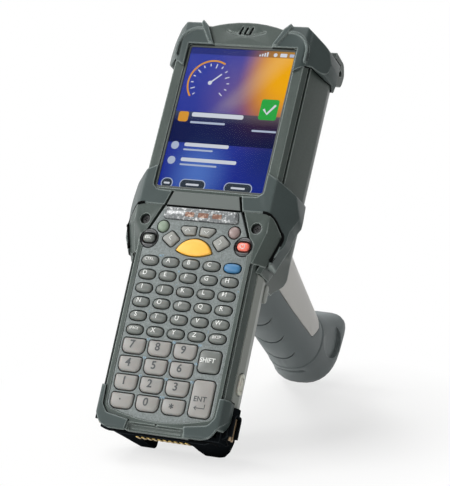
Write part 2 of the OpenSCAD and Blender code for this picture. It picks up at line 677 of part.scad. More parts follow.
// ---- lower housing, tail and battery ----
boot_l = 19;
boot_r = grip_r + 1.8;
boot_wall = 2.2;
bump_x0 = 14.6;
tail_wall = 1;
function lower_section(t, top = seam_z) = rounded(both_sides([
    [grip_r - 0.4 - t, top], [grip_r + 0.2 - t, -11, 2], [grip_r - 1.6 - t, -18, 4],
    [grip_r - 7.5 - t, -grip_d + 8 + t, 6], [grip_r - 14 - t, -grip_d + t, 5]
]));
module lower_form(t, y1, y0 = boot_l) section(lower_section(t), y0, y1);
// Side profile of the tail's core, which the black base slips over; g grows it
function core_profile(g) = rounded([
    [tail_wall + seat - g, seam_z + 10], [tail_wall + seat - g, -14, 2], [7 - g, -grip_d + 4, 2],
    [12 - g, -grip_d - 5], [boot_l + 1, -grip_d - 5], [boot_l + 1, seam_z + 10]
]);
bay_y0 = boot_l + 4;
// The wall between the battery bay and the inside
bay_top = -grip_d + battery_t + slide_clear;
module lower_housing() standing() difference() {
    color("SlateGray") intersection() {
        hung() union() {
            lower_form(0, split_y + 3);
            pair() side_pad();
            intersection() {
                section(lower_section(boot_wall + seat), 0, boot_l + 1);
                profile(core_profile(0), -50, 50);
            }
        }
        translate([-60, -20, -80]) cube([120, split_y + 20, 100]);
    }
    hung() intersection() {
        section(lower_section(wall + boot_wall, 2), mic_y - mic_r - seat, split_y + 10);
        translate([-50, 0, bay_top + wall]) cube([100, split_y + 10, 50]);
    }
    hung() keypad_bezel_form();
    hung() bay(slide_clear);
    for (s = [-1, 1]) hung() release_pocket(s);
}
// The oval pads at the lower ends of the flanks
module side_pad() translate([0, split_y - 6, -20]) rotate([90, 0, 90])
    linear_extrude(grip_r - 1) polygon(slab([0, 0], 9, 4.4, 2.1));
// What the battery pack leaves free in the lower housing
module bay(g) translate([-battery_w / 2 - g, bay_y0 - g, bay_top - battery_t - 10])
    cube([battery_w + 2 * g, battery_l + 2 * g, battery_t + 10]);
release_y = 30.5;
release_z = -9.5;
release_l = 10.5;
release_h = 4.6;
release_t = 3.4;
release_proud = 0.9;
module release_pocket(s) translate([s * grip_r, release_y, release_z]) rotate([0, 90, 0])
    linear_extrude(14, center = true) polygon(slab([0, 0], release_h + 0.6, release_l + 0.6, 2.4));
thumb_n = 5;
thumb_step = 2.6;
module battery_pack() standing() hung() color([0.12, 0.12, 0.13]) difference() {
    intersection() {
        translate([-battery_w / 2, bay_y0, -grip_d - 1]) cube([battery_w, battery_l, battery_t + 1]);
        section(lower_section(0), 0, split_y);
    }
    // the thumb grooves across its lower end
    for (i = [0:thumb_n - 1]) translate([-battery_w / 4, bay_y0 + 6 + i * thumb_step, -grip_d - 1])
        cube([battery_w / 2, 1.2, 1.7]);
}
module release_button(s) standing() hung() color("Ivory") difference() {
    translate([s * (grip_r + release_proud - release_t / 2), release_y, release_z]) rotate([0, 90, 0])
        linear_extrude(release_t, center = true) polygon(slab([0, 0], release_h, release_l, 2.2));
    translate([s * (grip_r + release_proud), release_y, release_z]) rotate([0, 90, 0])
        linear_extrude(0.8, center = true) polygon(slab([0, 0], release_h - 1.6, release_l - 4, 1));
}
module release_right() release_button(1);
module release_left() release_button(-1);

function bottom_bumper_outline() = rounded([
    [rim_r + 0.7, 20.4], [grip_r + 0.4, 20.8, 1], [grip_r + 0.4, 10.5, 6], [grip_r - 5, 1.4, 6],
    [grip_r - 13, -1, 3], [bump_x0 + 1.4, -0.8], [bump_x0, 5.2], [rim_r - 2.6, 7.2, 3], [rim_r + 0.3, 11.2, 3]
]);
bumper_z = -7;
module bottom_bumper() difference() {
    intersection() {
        plan(bottom_bumper_outline(), bumper_z, 1.4);
        section(rounded(both_sides([
            [grip_r - 2, 1.4, 1.5], [grip_r + 0.4, -3.5, 2], [grip_r + 0.4, bumper_z]
        ])), -5, 30);
        profile(rounded([[-1.4, bumper_z], [-1.2, -2, 2], [0.6, 1.4, 1.5], [30, 1.4], [30, bumper_z]]), 0, 60);
    }
    plate_form(0, -3, 2);
    section(lower_section(boot_wall, 0.2), -1, boot_l + 1);
    lower_form(0, 30);
}
module bottom_bumper_right() standing() hung() color([0.2, 0.23, 0.23]) bottom_bumper();
module bottom_bumper_left() standing() hung() color([0.2, 0.23, 0.23]) mirror([1, 0, 0]) bottom_bumper();

hook_x = 13.8;
// The window in the base's side, with a raised rim round it
side_window = [0, 9, -11];
side_window_l = 12;
side_window_h = 6;
module window_block(g, x0, x1) translate([0, side_window.y, side_window.z]) rotate([90, 0, 90])
    translate([0, 0, x0]) linear_extrude(x1 - x0)
        polygon(slab([0, 0], side_window_l + 2 * g, side_window_h + 2 * g, 1 + g));
module connector_base() standing() hung() color([0.06, 0.06, 0.07]) difference() {
    union() {
        base_form();
        intersection() {
            pair() window_block(0.8, boot_r - 2, boot_r + 0.5);
            plan(both_sides([[10, 5], [boot_r + 2, 5], [boot_r + 2, boot_l]]), -grip_d, bumper_z - seat);
        }
    }
    intersection() {
        section(lower_section(boot_wall, 0), -6, boot_l + 1);
        profile(core_profile(seat), -50, 50);
    }
    // the open middle between the two hooks, under the bar that holds the contacts
    translate([-hook_x, -10, -grip_d - 10]) cube([2 * hook_x, 20, grip_d + 10 + pin_z - 3.5]);
    pair() window_block(0, boot_r - 2, boot_r + 2);
    pins(0);
}
module base_form() {
    intersection() {
        section(rounded(both_sides([
            [grip_r - 0.6, bumper_z - seat], [boot_r, -9.5, 1], [boot_r, -12.5, 2], [boot_r - 2.4, -18, 4],
            [boot_r - 8.5, -grip_d + 8, 6], [boot_r - 15, -grip_d + 0.5, 5]
        ])), -5, boot_l);
        profile(concat(
            [[boot_l, bumper_z - seat], [-0.6, bumper_z - seat], [-0.6, -16], [-1.2, -22]],
            arc(hook_c, hook_r, 180, 270, 6),
            [[boot_l, -grip_d + 0.5]]
        ), -60, 60);
        plan(rounded(both_sides([[grip_r - 14, -2, 8], [boot_r + 0.6, 5, 8], [boot_r + 0.6, boot_l]])),
             -grip_d - 1, 0);
    }
}
pin_n = 10;
pin_step = 2.9;
pin_z = -11;
module pins(y) for (i = [0:pin_n - 1])
    translate([(i - (pin_n - 1) / 2) * pin_step, y, pin_z]) cube([1.5, 2, 4], center = true);
module contact_pins() standing() hung() color("Gold") pins(0);
module side_contacts() standing() hung() color("Goldenrod")
    for (s = [-1, 1], z = [-12.4, -9.6]) translate([s * (boot_r - 1.6), 9, z]) cube([0.8, 11, 1.6], center = true);

module microphone() standing() hung() color("Black")
    translate([0, mic_y, seam_z - 2]) cylinder(r = mic_r, h = 2);

// ---- screws ----
screw_l = 9;
screw_sink = 3;
screw_head_r = 2.25;
screw_head_t = 1.2;
// Centre of the handle where it leaves the head
root_y = kink_y + 9.6;
handle_screw_x = 12.5;
handle_screw_y = root_y + 14;
// A screw along Z whose head's underside is at the origin
module screw(l) {
    translate([0, 0, -l]) cylinder(r = screw_r, h = l);
    difference() {
        cylinder(r = screw_head_r, h = screw_head_t);
        for (a = [0, 90]) translate([0, 0, screw_head_t]) rotate(a) cube([2.2, 0.6, 1], center = true);
    }
}
module case_screws() standing() color("Black") pair() {
    hung() translate([screw_x, screw_y, -screw_sink]) screw(screw_l);
    translate([handle_screw_x, handle_screw_y, -head_d + wall]) screw(screw_l);
}

// ---- handle ----
// Half sizes against the grip's, at shares of the handle's length from the collar up
collar_k = 0.842;
root_k = -0.06;
handle_sizes = [
    [collar_k, 0.935, 0.795], [0.62, 0.955, 0.915], [0.38, 1.00, 1.045],
    [0.16, 1.05, 1.22], [0, 1.14, 1.40], [root_k, 1.14, 1.42]
];
function size_slope(j, i) =
    let (a = handle_sizes[max(j - 1, 0)], b = handle_sizes[min(j + 1, len(handle_sizes) - 1)])
    (b[i] - a[i]) / (b[0] - a[0]);
// A smooth curve through column i of the sizes, at share k
function size_at(k, i) =
    let (
        j = max([for (q = [0:len(handle_sizes) - 2]) if (handle_sizes[q][0] >= k) q]),
        a = handle_sizes[j],
        b = handle_sizes[j + 1],
        d = b[0] - a[0],
        u = (k - a[0]) / d
    )
    a[i] * (1 + 2 * u) * (1 - u) * (1 - u) + b[i] * u * u * (3 - 2 * u)
    + d * u * (1 - u) * ((1 - u) * size_slope(j, i) - u * size_slope(j + 1, i));
ring_n = 32;
ring_steps = 10;
oval_e = 2.25;
// One oval ring; an exponent above 2 squares it up, toe_e on the trigger's side and e on the palm's
function oval(a, b, c, z, tilt = 0, e = oval_e, toe_e = oval_e) = [for (i = [0:ring_n - 1])
    let (
        w = 360 * i / ring_n,
        x = a * sign(cos(w)) * pow(abs(cos(w)), 2 / (sin(w) > 0 ? toe_e : e)),
        y = b * sign(sin(w)) * pow(abs(sin(w)), 2 / (sin(w) > 0 ? toe_e : e))
    )
    [x, c + y, z - y * tan(tilt)]];
function handle_y(k) = root_y - handle_rake * k;
function handle_z(k) = -head_d - handle_l * k;
function handle_ring(k, t) =
    oval(handle_w / 2 * size_at(k, 1) - t, handle_b / 2 * size_at(k, 2) - t, handle_y(k), handle_z(k));
module handle_form(t) loft([for (i = [0:ring_steps])
    handle_ring(collar_k + (root_k - collar_k) * i / ring_steps, t)]);
// The hard panel on the trigger side ends in a V above the foot; g grows it
module panel_side(g = 0) profile(rounded([
    [root_y + 60, -head_d + 12], [root_y - 16 - g, -head_d + 12], [root_y - 16 - g, -head_d - 18, 6],
    [handle_y(0.45) - 8.6 - g, handle_z(0.45), 12], [handle_y(0.73) - 4.4 - g, handle_z(0.733), 1],
    [handle_y(0.78) + 4, handle_z(0.787) - g, 3], [root_y + 60, handle_z(0.79) - g]
]), -40, 40);
module handle_shell() standing() color([0.55, 0.55, 0.53]) difference() {
    union() {
        intersection() {
            handle_form(0);
            panel_side();
        }
        handle_form(grip_rubber);
    }
    difference() {
        handle_form(grip_rubber + wall);
        // the two screw bosses and the wall behind the trigger
        pair() translate([handle_screw_x, handle_screw_y, -head_d - screw_l - 3]) cylinder(r = post_r + 0.5, h = 30);
        translate([-handle_w, stop_y - 2, pivot_z - 30]) cube([2 * handle_w, 2, 34]);
    }
    head_form(0);
    pair() translate([handle_screw_x, handle_screw_y, -head_d - screw_l]) cylinder(r = screw_r, h = 20);
    trigger_pocket();
    trigger_bore(0, pin_l);
}
// The seam round the panel and the curved grooves under the palm, all of one depth
grip_seam = 0.4;
groove_d = 0.9;
groove_w = 1.7;
groove_arc_r = 10.5;
groove_arc_a = 62;
palm_grooves = [0.42, 0.59, 0.75];
// A crescent that is widest at its lowest point
function crescent(c, r, a, w, n = 12) = concat(
    [for (i = [0:n]) let (t = i / n, v = 270 - a + 2 * a * t) c + (r + w / 2 * sin(180 * t)) * [cos(v), sin(v)]],
    [for (i = [n - 1:-1:1]) let (t = i / n, v = 270 - a + 2 * a * t) c + (r - w / 2 * sin(180 * t)) * [cos(v), sin(v)]]
);
module handle_grip() standing() color([0.22, 0.24, 0.25]) difference() {
    handle_form(0);
    panel_side();
    handle_form(grip_rubber);
    head_form(0);
    difference() {
        union() {
            panel_side(grip_seam);
            for (k = palm_grooves)
                section(crescent([0, handle_z(k) + groove_arc_r], groove_arc_r, groove_arc_a, groove_w),
                        handle_y(k) - handle_b, handle_y(k));
        }
        handle_form(groove_d);
    }
}
// The foot swells out of a grooved collar and ends in a flat flange
flange_h = 3.5;
collar_h = 0.8;
collar_d = 0.5;
scoop_r = 9.8;
scoop_d = 2.4;
function foot_ring(dz) = oval(
    foot_w / 2, foot_l / 2, heel_y + foot_l / 2, heel_z + dz - foot_l / 2 * tan(foot_tilt), foot_tilt, 2.5, 4.5
);
function collar_ring(dz, t) = [for (p = handle_ring(collar_k, t)) [p.x, p.y, p.z - dz]];
// A ring between two others, at share u in plan and v in height
function ring_between(a, b, u, v) = [for (i = [0:ring_n - 1]) [
    a[i].x + (b[i].x - a[i].x) * u, a[i].y + (b[i].y - a[i].y) * u, a[i].z + (b[i].z - a[i].z) * v]];
module handle_foot() standing() color([0.22, 0.24, 0.25]) difference() {
    loft([
        foot_ring(0), foot_ring(flange_h),
        ring_between(foot_ring(flange_h), collar_ring(2 * collar_h, -collar_d), 0.42, 0.3),
        ring_between(foot_ring(flange_h), collar_ring(2 * collar_h, -collar_d), 0.76, 0.66),
        collar_ring(2 * collar_h, -collar_d), collar_ring(collar_h, collar_d), collar_ring(0, collar_d)
    ]);
    // the recess that hides the foot's screw
    translate([0, heel_y + 5, heel_z - 3]) rotate([-foot_tilt, 0, 0])
        linear_extrude(8) polygon(slab([0, 0], 14, 3, 1.4));
    // the finger recess under the palm and the scoops in both sides
    section(slab([0, handle_z(collar_k) - 5], 21, 3, 1.4), heel_y - 5, heel_y + 3.4);
    pair() translate([foot_w / 2 - scoop_d, heel_y + 24, heel_z + 7]) rotate([0, 90, 0]) cylinder(r = scoop_r, h = 9);
}

// ---- trigger ----
trigger_w = 13;
pivot_y = root_y + 19;
pivot_z = -head_d - 11;
trigger_l = 28;
// Where the trigger's back stands at full swing, and the wall behind it
back_y = pivot_y - 6 * cos(trigger_swing) - (trigger_l - 5) * sin(trigger_swing);
switch_t = 4;
stop_y = back_y - slide_clear - switch_t;
function trigger_outline() = concat(
    arc([pivot_y, pivot_z], 4, 180, 60, 6),
    arc([pivot_y + 12.5, pivot_z - 17], 9, 110, 220, 8),
    [[pivot_y - 0.5, pivot_z - trigger_l - 1], [pivot_y - 5, pivot_z - trigger_l],
     [pivot_y - 6, pivot_z - trigger_l / 2]]
);
module trigger_bore(c, l) translate([0, pivot_y, pivot_z]) rotate([0, 90, 0])
    cylinder(r = trigger_pin_r + c, h = l, center = true);
module trigger_pocket() translate([-trigger_w / 2 - slide_clear, stop_y, pivot_z - trigger_l - 6])
    cube([trigger_w + 2 * slide_clear, 50, trigger_l + 12]);
pin_run = 0.05;
pin_l = trigger_w + 6;
spring_r = 3.2;
spring_w = 4.4;
module trigger() standing() color([0.2, 0.22, 0.22]) difference() {
    profile(trigger_outline(), -trigger_w / 2, trigger_w / 2);
    trigger_bore(pin_run, 2 * pin_l);
    // the gap between its two ears takes the spring
    translate([-spring_w / 2 - slide_clear, pivot_y - 10, pivot_z - 6]) cube([spring_w + 2 * slide_clear, 20, 12]);
}
module trigger_pin() standing() color("Silver") trigger_bore(0, pin_l);
// A torsion spring round the pin, its long leg against the wall behind
module trigger_spring() standing() color("Silver") {
    difference() {
        trigger_bore(spring_r - trigger_pin_r, spring_w);
        trigger_bore(0.3, 2 * spring_w);
    }
    translate([0, stop_y, pivot_z - spring_r + 0.6]) rotate([-90, 0, 0])
        cylinder(r = 0.5, h = pivot_y - stop_y);
}
module trigger_switch() standing() color("Black")
    translate([-4, stop_y, pivot_z - trigger_l + 3]) cube([8, switch_t, 9]);

display_bezel();
head_housing();
nose_cap();
top_bumper_left();
top_bumper_right();
shoulder_bumper_left();
shoulder_bumper_right();
display_gasket();
touch_panel();
lcd_module();
name_bar();
led_lens();
keypad_bezel();
keypad_plate();
key_mat();
lower_housing();
bottom_bumper_left();
bottom_bumper_right();
connector_base();
contact_pins();
side_contacts();
case_screws();
main_board();
speaker();
microphone();
scan_engine();
scan_window();
handle_shell();
handle_grip();
handle_foot();
trigger();
trigger_pin();
trigger_switch();
trigger_spring();
battery_pack();
release_left();
release_right();
single_key("Red", boss_key_outline(1), boss_key_outline(1, flange_w), boss_key_outline(1, -0.7));  // power_key
single_key("SlateGray", boss_key_outline(-1), boss_key_outline(-1, flange_w), boss_key_outline(-1, -0.7));  // esc_key
single_key("Orange", scan_outline(), scan_outline(flange_w), scan_outline(-0.8));  // scan_key
single_key("DarkSeaGreen", talk_outline(), talk_outline(flange_w), talk_outline(-0.7));  // talk_key
single_key("RosyBrown", end_outline(), end_outline(flange_w), end_outline(-0.7));  // end_key
single_key("DarkGray", nav_side(-1), nav_side(-1, flange_w), nav_side(-1, -0.6));  // nav_left_key
single_key("DarkGray", nav_top(-1), nav_top(-1, flange_w), nav_top(-1, -0.6));  // nav_up_key
single_key("DarkGray", nav_top(1), nav_top(1, flange_w), nav_top(1, -0.6));  // nav_down_key
single_key("DarkGray", nav_side(1), nav_side(1, flange_w), nav_side(1, -0.6));  // nav_right_key
letter_row(0, [4]);  // blue_key
single_key("Gray", shift_outline(), shift_outline(flange_w), shift_outline(-0.7));  // shift_key
single_key("Gainsboro", enter_outline(), enter_outline(flange_w), enter_outline(-0.7));  // enter_key
digit_row(0);  // digit_keys_1
digit_row(1);  // digit_keys_2
digit_row(2);  // digit_keys_3
digit_row(3);  // digit_keys_4
letter_row(0, [0:3]);  // letter_keys_1
letter_row(1, [0:4]);  // letter_keys_2
letter_row(2, [0:4]);  // letter_keys_3
letter_row(3, [0:4]);  // letter_keys_4
letter_row(4, [0:4]);  // letter_keys_5
letter_row(5, [0:4]);  // letter_keys_6
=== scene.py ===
"""Finishes for a handheld data terminal: moulded shells, rubber, keys, screen and studio."""
import json
import math

import bmesh
import bpy
from bpy.props import FloatProperty, FloatVectorProperty, PointerProperty
from bpy.types import Operator, Panel, PropertyGroup
from mathutils import Matrix, Vector
from mathutils.bvhtree import BVHTree
from mathutils.geometry import tessellate_polygon

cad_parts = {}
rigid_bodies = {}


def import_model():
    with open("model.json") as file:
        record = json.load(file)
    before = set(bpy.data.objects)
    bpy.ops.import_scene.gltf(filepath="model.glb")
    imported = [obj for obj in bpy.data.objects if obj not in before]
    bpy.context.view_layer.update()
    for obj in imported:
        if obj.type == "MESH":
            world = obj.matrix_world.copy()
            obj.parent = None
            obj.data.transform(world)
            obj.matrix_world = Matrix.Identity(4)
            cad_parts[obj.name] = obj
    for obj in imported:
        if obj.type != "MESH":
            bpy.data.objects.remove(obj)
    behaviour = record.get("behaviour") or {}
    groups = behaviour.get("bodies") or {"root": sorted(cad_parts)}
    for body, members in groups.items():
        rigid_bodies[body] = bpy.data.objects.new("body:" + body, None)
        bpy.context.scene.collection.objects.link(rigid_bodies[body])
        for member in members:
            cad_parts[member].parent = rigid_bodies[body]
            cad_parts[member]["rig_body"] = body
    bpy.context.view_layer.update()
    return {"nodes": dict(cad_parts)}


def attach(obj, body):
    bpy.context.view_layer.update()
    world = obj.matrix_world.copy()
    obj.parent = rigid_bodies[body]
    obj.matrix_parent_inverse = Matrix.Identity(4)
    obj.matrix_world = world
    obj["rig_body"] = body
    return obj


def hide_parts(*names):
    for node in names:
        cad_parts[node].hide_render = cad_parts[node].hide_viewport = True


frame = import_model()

bl_info = {
    "name": "Data Terminal Finishes",
    "version": (1, 0, 0),
    "blender": (4, 5, 0),
    "location": "View3D > Sidebar > Terminal",
    "description": "Builds the visible pieces and finishes of a handheld data terminal",
    "category": "Object",
}

# ---- the terminal's own frames, in millimetres ----
LEAN = math.radians(30.8605)
DROOP = math.radians(3)
MID, FLOOR_Z = 105.64, -19.2295
KINK_Y, NOSE_Y = 107.0, 209.0
HEAD_R, GRIP_R = 41.0, 34.0
# Where the side walls' dark strip at the tail ends
DARK_TAIL = 7.5
DEVICE = (
    Matrix.Scale(0.001, 4)
    @ Matrix.Translation((0, -MID, -FLOOR_Z))
    @ Matrix.Rotation(math.pi / 2 - LEAN, 4, "X")
)
KEYPAD = (
    DEVICE
    @ Matrix.Translation((0, KINK_Y, 0))
    @ Matrix.Rotation(DROOP, 4, "X")
    @ Matrix.Translation((0, -KINK_Y, 0))
)

# ---- the key field, as the keypad plate is punched ----
NAV_ZONE, TAIL_ZONE, DIGIT_RATIO, KEY_GAP = 19.6, 9.3, 1.29, 2.0
LETTER_ROWS, DIGIT_ROWS = 6, 4
KEY_PROUD, PLATE_T, KEY_ROOT = 1.3, 2.0, -2.9
# Width and height of the flange under a key cap
FLANGE, FLANGE_T = 0.4, 0.6
PLATE_R = GRIP_R - 6
FIELD_TOP = KINK_Y - NAV_ZONE
LETTER_PITCH = (FIELD_TOP - TAIL_ZONE) / (LETTER_ROWS + DIGIT_ROWS * DIGIT_RATIO)
DIGIT_PITCH = LETTER_PITCH * DIGIT_RATIO
LETTER_STEP = (2 * PLATE_R - 1.2) / 5
LETTER_W, LETTER_L = LETTER_STEP - KEY_GAP - 0.3, LETTER_PITCH - KEY_GAP - 0.4
DIGIT_STEP = (2 * PLATE_R - 1.4) / 4
DIGIT_W, DIGIT_L = DIGIT_STEP - KEY_GAP + 0.1, DIGIT_PITCH - KEY_GAP + 0.3
BOSS_X, BOSS_Y, BOSS_R = PLATE_R - 2.8, KINK_Y - 12, 4.9
KEY_CLEAR, TAIL_SAG, TAIL_CURVE = 0.45, 3.6, 80
# Power of the sine and cosine in a letter key's oval outline, and its points
OVAL, OVAL_POINTS = 0.78, 48
PLATE_TOP_R, PLATE_Y1 = 20.1, KINK_Y + 5.2

# ---- the display ----
WINDOW_R, WINDOW_Y0, WINDOW_Y1 = HEAD_R - 11.4, KINK_Y + 14.6, NOSE_Y - 9.6
PANEL_TOP, TOUCH_T, LCD_T = -1.55, 1.2, 4.0
LCD_TOP, INK_T = PANEL_TOP - TOUCH_T - 0.12, 0.03

# ---- edges, seams and prints ----
# Vertices of a CAD mesh nearer than this, in metres, are one
WELD = 0.000005
ROUND_STEPS = 3
# Bends sharper than this, in degrees, are rounded: on the mouldings and on the handle
ROUND_ANGLE, HANDLE_ANGLE = 28, 32
# Bends sharper than this can carry a seam
SEAM_ANGLE = math.radians(20)
# How far a print stands over the surface that carries it
LEGEND_LIFT = 0.04
# Longest piece of a character that stays flat on a domed key
CUT_STEP = 0.7


# ---- settings a user would change ----
def srgb(code):
    """A colour written as six hex digits, as linear values."""
    parts = [int(code[i:i + 2], 16) / 255 for i in (0, 2, 4)]
    return [c / 12.92 if c <= 0.04045 else ((c + 0.055) / 1.055) ** 2.4 for c in parts]


def colour(name, code, note):
    return FloatVectorProperty(
        name=name, description=note, subtype="COLOR", size=3, min=0, max=1, default=srgb(code)
    )


def length(name, value, note):
    return FloatProperty(name=name, description=note + ", in millimetres", default=value, min=0)


def watts(name, value, note):
    return FloatProperty(
        name=name, description="Power of the " + note, default=value, min=0, unit="POWER"
    )


class TerminalColours(PropertyGroup):
    """The base colours of the terminal's materials."""

    case: colour("Case", "454E4A", "Moulded plastic of the head and keypad frame")
    rubber: colour("Bumpers", "404A49", "Rubber of the corner and shoulder bumpers")
    side: colour("Sides", "787D76", "Plastic of the keypad half's side walls")
    plate: colour("Keypad plate", "787F7E", "Plate between the keys")
    handle: colour("Handle panel", "C5C3BF", "Hard panel on the handle's front")
    grip: colour("Handle rubber", "586162", "Rubber on the palm side and foot")
    base: colour("Base", "14171A", "Gloss plastic of the tail's base")
    letters: colour("Letter keys", "666A66", "Letter and shift keys")
    digits: colour("Number keys", "918F8B", "Number and enter keys")
    scan: colour("Scan key", "FFC04A", "Large scan key")
    blue: colour("Blue key", "3774A1", "Function key")
    power: colour("Power key", "FF8370", "Power key")
    release: colour("Battery release", "DAD9CC", "Release buttons")
    cool: colour("Screen, cool end", "1B2C8E", "Lower left of the screen's picture")
    warm: colour("Screen, warm end", "FFB108", "Upper right of the screen's picture")


class TerminalForms(PropertyGroup):
    """Small sizes of the edges and keys."""

    edge: length("Moulding edge", 0.4, "Edge rounding of the hard mouldings")
    soft_edge: length("Rubber edge", 0.9, "Edge rounding of the rubber pieces")
    key_round: length("Key shoulder", 1.1, "Rounding of the key caps")
    key_dome: length("Key dome", 0.5, "Rise of a key's middle over its shoulder")
    legend: length("Legend height", 0.04, "Height of the printed legends")
    # The seams' dark cords are painted shade; this sets their width
    seam: FloatProperty(
        name="Seams", description="Share of the dark seams' full width",
        default=1.0, min=0.1, max=1.5
    )


class TerminalStudio(PropertyGroup):
    """Lamps and floor of the stage."""

    key_lamp: watts("Key lamp", 6.8, "main lamp")
    top_lamp: watts("Top lamp", 7.5, "lamp overhead")
    fill_lamp: watts("Fill lamp", 0.7, "fill lamp")
    rim_lamp: watts("Rim lamp", 5.0, "lamp behind the left side")
    low_lamp: watts("Low lamp", 4.5, "low front lamp")
    sky: FloatProperty(
        name="Sky", description="Strength of the surrounding light", default=0.2, min=0
    )
    floor: colour("Floor", "F2F2F0", "Colour of the floor")


# ---- shader nodes ----
FLOAT, RGBA, VECTOR = "NodeSocketFloat", "NodeSocketColor", "NodeSocketVector"
WHITE = (1, 1, 1, 1)
# Nearly all values of a noise lie between these
NOISE_SPAN = (0.3, 0.7)


def new_group(name, inputs, outputs):
    """An empty node group, its given values and its end; inputs are (kind, label, value)."""
    group = bpy.data.node_groups.new(name, "ShaderNodeTree")
    for kind, label, value in inputs:
        socket = group.interface.new_socket(label, in_out="INPUT", socket_type=kind)
        socket.default_value = value
    for kind, label in outputs:
        group.interface.new_socket(label, in_out="OUTPUT", socket_type=kind)
    given = group.nodes.new("NodeGroupInput").outputs
    return group, given, group.nodes.new("NodeGroupOutput")


def shared(build):
    """The node group that a function builds, made once and named after it."""
    name = build.__name__.replace("_", " ").title()
    return bpy.data.node_groups.get(name) or build(name)


def feed(tree, node, links):
    """Links a node's inputs to their source sockets, or sets them to their values."""
    for socket, source in links.items():
        if isinstance(source, bpy.types.NodeSocket):
            tree.links.new(source, node.inputs[socket])
        else:
            node.inputs[socket].default_value = source


def add(tree, kind, links=None, **settings):
    """A shader node of that kind with its inputs fed."""
    node = tree.nodes.new("ShaderNode" + kind)
    for key, value in settings.items():
        setattr(node, key, value)
    feed(tree, node, links or {})
    return node


def ramp(tree, source, low, high, out_low=0.0, out_high=1.0, kind="LINEAR"):
    """The source mapped from low..high to out_low..out_high."""
    return add(tree, "MapRange", {
        "Value": source, "From Min": low, "From Max": high,
        "To Min": out_low, "To Max": out_high
    }, interpolation_type=kind).outputs["Result"]


def mix(tree, factor, a, b, mode="MIX"):
    """Two colours mixed; the sockets are the node's colour ones."""
    return add(tree, "Mix", {0: factor, 6: a, 7: b},
               data_type="RGBA", blend_type=mode).outputs[2]


def math_node(tree, operation, a, b=0.0):
    return add(tree, "Math", {0: a, 1: b}, operation=operation).outputs[0]


def times(tree, a, b):
    return math_node(tree, "MULTIPLY", a, b)


def swing(tree, noise, amount):
    """A noise turned into plus or minus the amount."""
    return times(tree, ramp(tree, noise, *NOISE_SPAN, -1, 1), amount)


def own_place(tree):
    """Coordinates that stay with the object."""
    return add(tree, "TexCoord").outputs["Object"]


def cloud(tree, place, scale, detail, rough=0.5):
    """Plain noise at a place."""
    return add(tree, "TexNoise", {
        "Vector": place, "Scale": scale, "Detail": detail, "Roughness": rough
    }).outputs["Fac"]


def grey(tree, level):
    """A level as a colour."""
    return add(tree, "CombineColor", dict.fromkeys(range(3), level)).outputs[0]


# ---- shader node groups ----
def moulded_surface(name):
    """Fine spark-eroded grain, soft blotches, painted shade in the crevices, and edges coloured for
    wear and as painted light.
    """
    group, given, out = new_group(name, [
        (RGBA, "Colour", (0.1, 0.1, 0.1, 1)), (RGBA, "Worn", (0.2, 0.2, 0.2, 1)),
        (FLOAT, "Grain Scale", 1500.0), (FLOAT, "Grain Contrast", 0.1),
        (FLOAT, "Blotches", 0.1), (FLOAT, "Wear", 0.5),
        (FLOAT, "Roughness", 0.5), (FLOAT, "Roughness Spread", 0.1),
        (FLOAT, "Edge", 0.0005), (FLOAT, "Crevice", 0.6),
    ], [(RGBA, "Colour"), (FLOAT, "Roughness"), (FLOAT, "Height"), (VECTOR, "Normal")])
    place = own_place(group)
    soft = add(group, "Bevel", {"Radius": given["Edge"]}, samples=4).outputs["Normal"]
    grain = cloud(group, place, given["Grain Scale"], 2.0, 0.6)
    blotch = cloud(group, place, 45.0, 3.0, 0.55)
    mottle = math_node(group, "ADD", swing(group, grain, given["Grain Contrast"]),
                       swing(group, blotch, given["Blotches"]))
    level = math_node(group, "ADD", mottle, 1.0)
    body = mix(group, 1.0, given["Colour"], grey(group, level), "MULTIPLY")
    # An edge shows where the softened normal turns away from the flat one; its colour stands for
    # wear and is painted light along the edge, paler for a highlight and darker for shade
    facing = add(group, "NewGeometry").outputs["Normal"]
    turned = add(group, "VectorMath", {0: facing, 1: soft}, operation="DOT_PRODUCT")
    edge = times(group, ramp(group, turned.outputs["Value"], 0.995, 0.85), given["Wear"])
    worn = mix(group, edge, body, given["Worn"])
    # Painted shade: the colour is darkened where ambient occlusion finds the surface closed in, in
    # crevices and between parts
    open_sky = add(group, "AmbientOcclusion", {"Distance": 0.0025}, samples=4)
    shut = times(group, ramp(group, open_sky.outputs["AO"], 0.75, 0.15), given["Crevice"])
    shade = grey(group, math_node(group, "SUBTRACT", 1.0, shut))
    rough = math_node(group, "ADD", given["Roughness"],
                      swing(group, blotch, given["Roughness Spread"]))
    colour_out = mix(group, 1.0, worn, shade, "MULTIPLY")
    feed(group, out, {"Colour": colour_out, "Roughness": rough, "Height": grain, "Normal": soft})
    return group


def polished_surface(name):
    """Dust specks and hairline scratches on glossy surfaces."""
    group, given, out = new_group(name, [
        (RGBA, "Colour", (0.1, 0.1, 0.1, 1)), (RGBA, "Dust", (0.4, 0.4, 0.4, 1)),
        (FLOAT, "Dust Amount", 0.1), (FLOAT, "Roughness", 0.1), (FLOAT, "Smear", 0.1),
    ], [(RGBA, "Colour"), (FLOAT, "Roughness"), (FLOAT, "Height")])
    place = own_place(group)
    smear, speck = cloud(group, place, 60.0, 4.0), cloud(group, place, 900.0, 1.0)
    dust = times(group, ramp(group, speck, 0.62, 0.75), given["Dust Amount"])
    scratch = add(group, "TexWave", {
        "Vector": place, "Scale": 120.0, "Distortion": 6.0,
        "Detail": 2.0, "Detail Scale": 3.0
    }).outputs["Fac"]
    rough = math_node(group, "ADD", given["Roughness"],
                      times(group, ramp(group, smear, 0.35, 0.65), given["Smear"]))
    dusty = mix(group, dust, given["Colour"], given["Dust"])
    feed(group, out, {"Colour": dusty, "Roughness": rough, "Height": scratch})
    return group


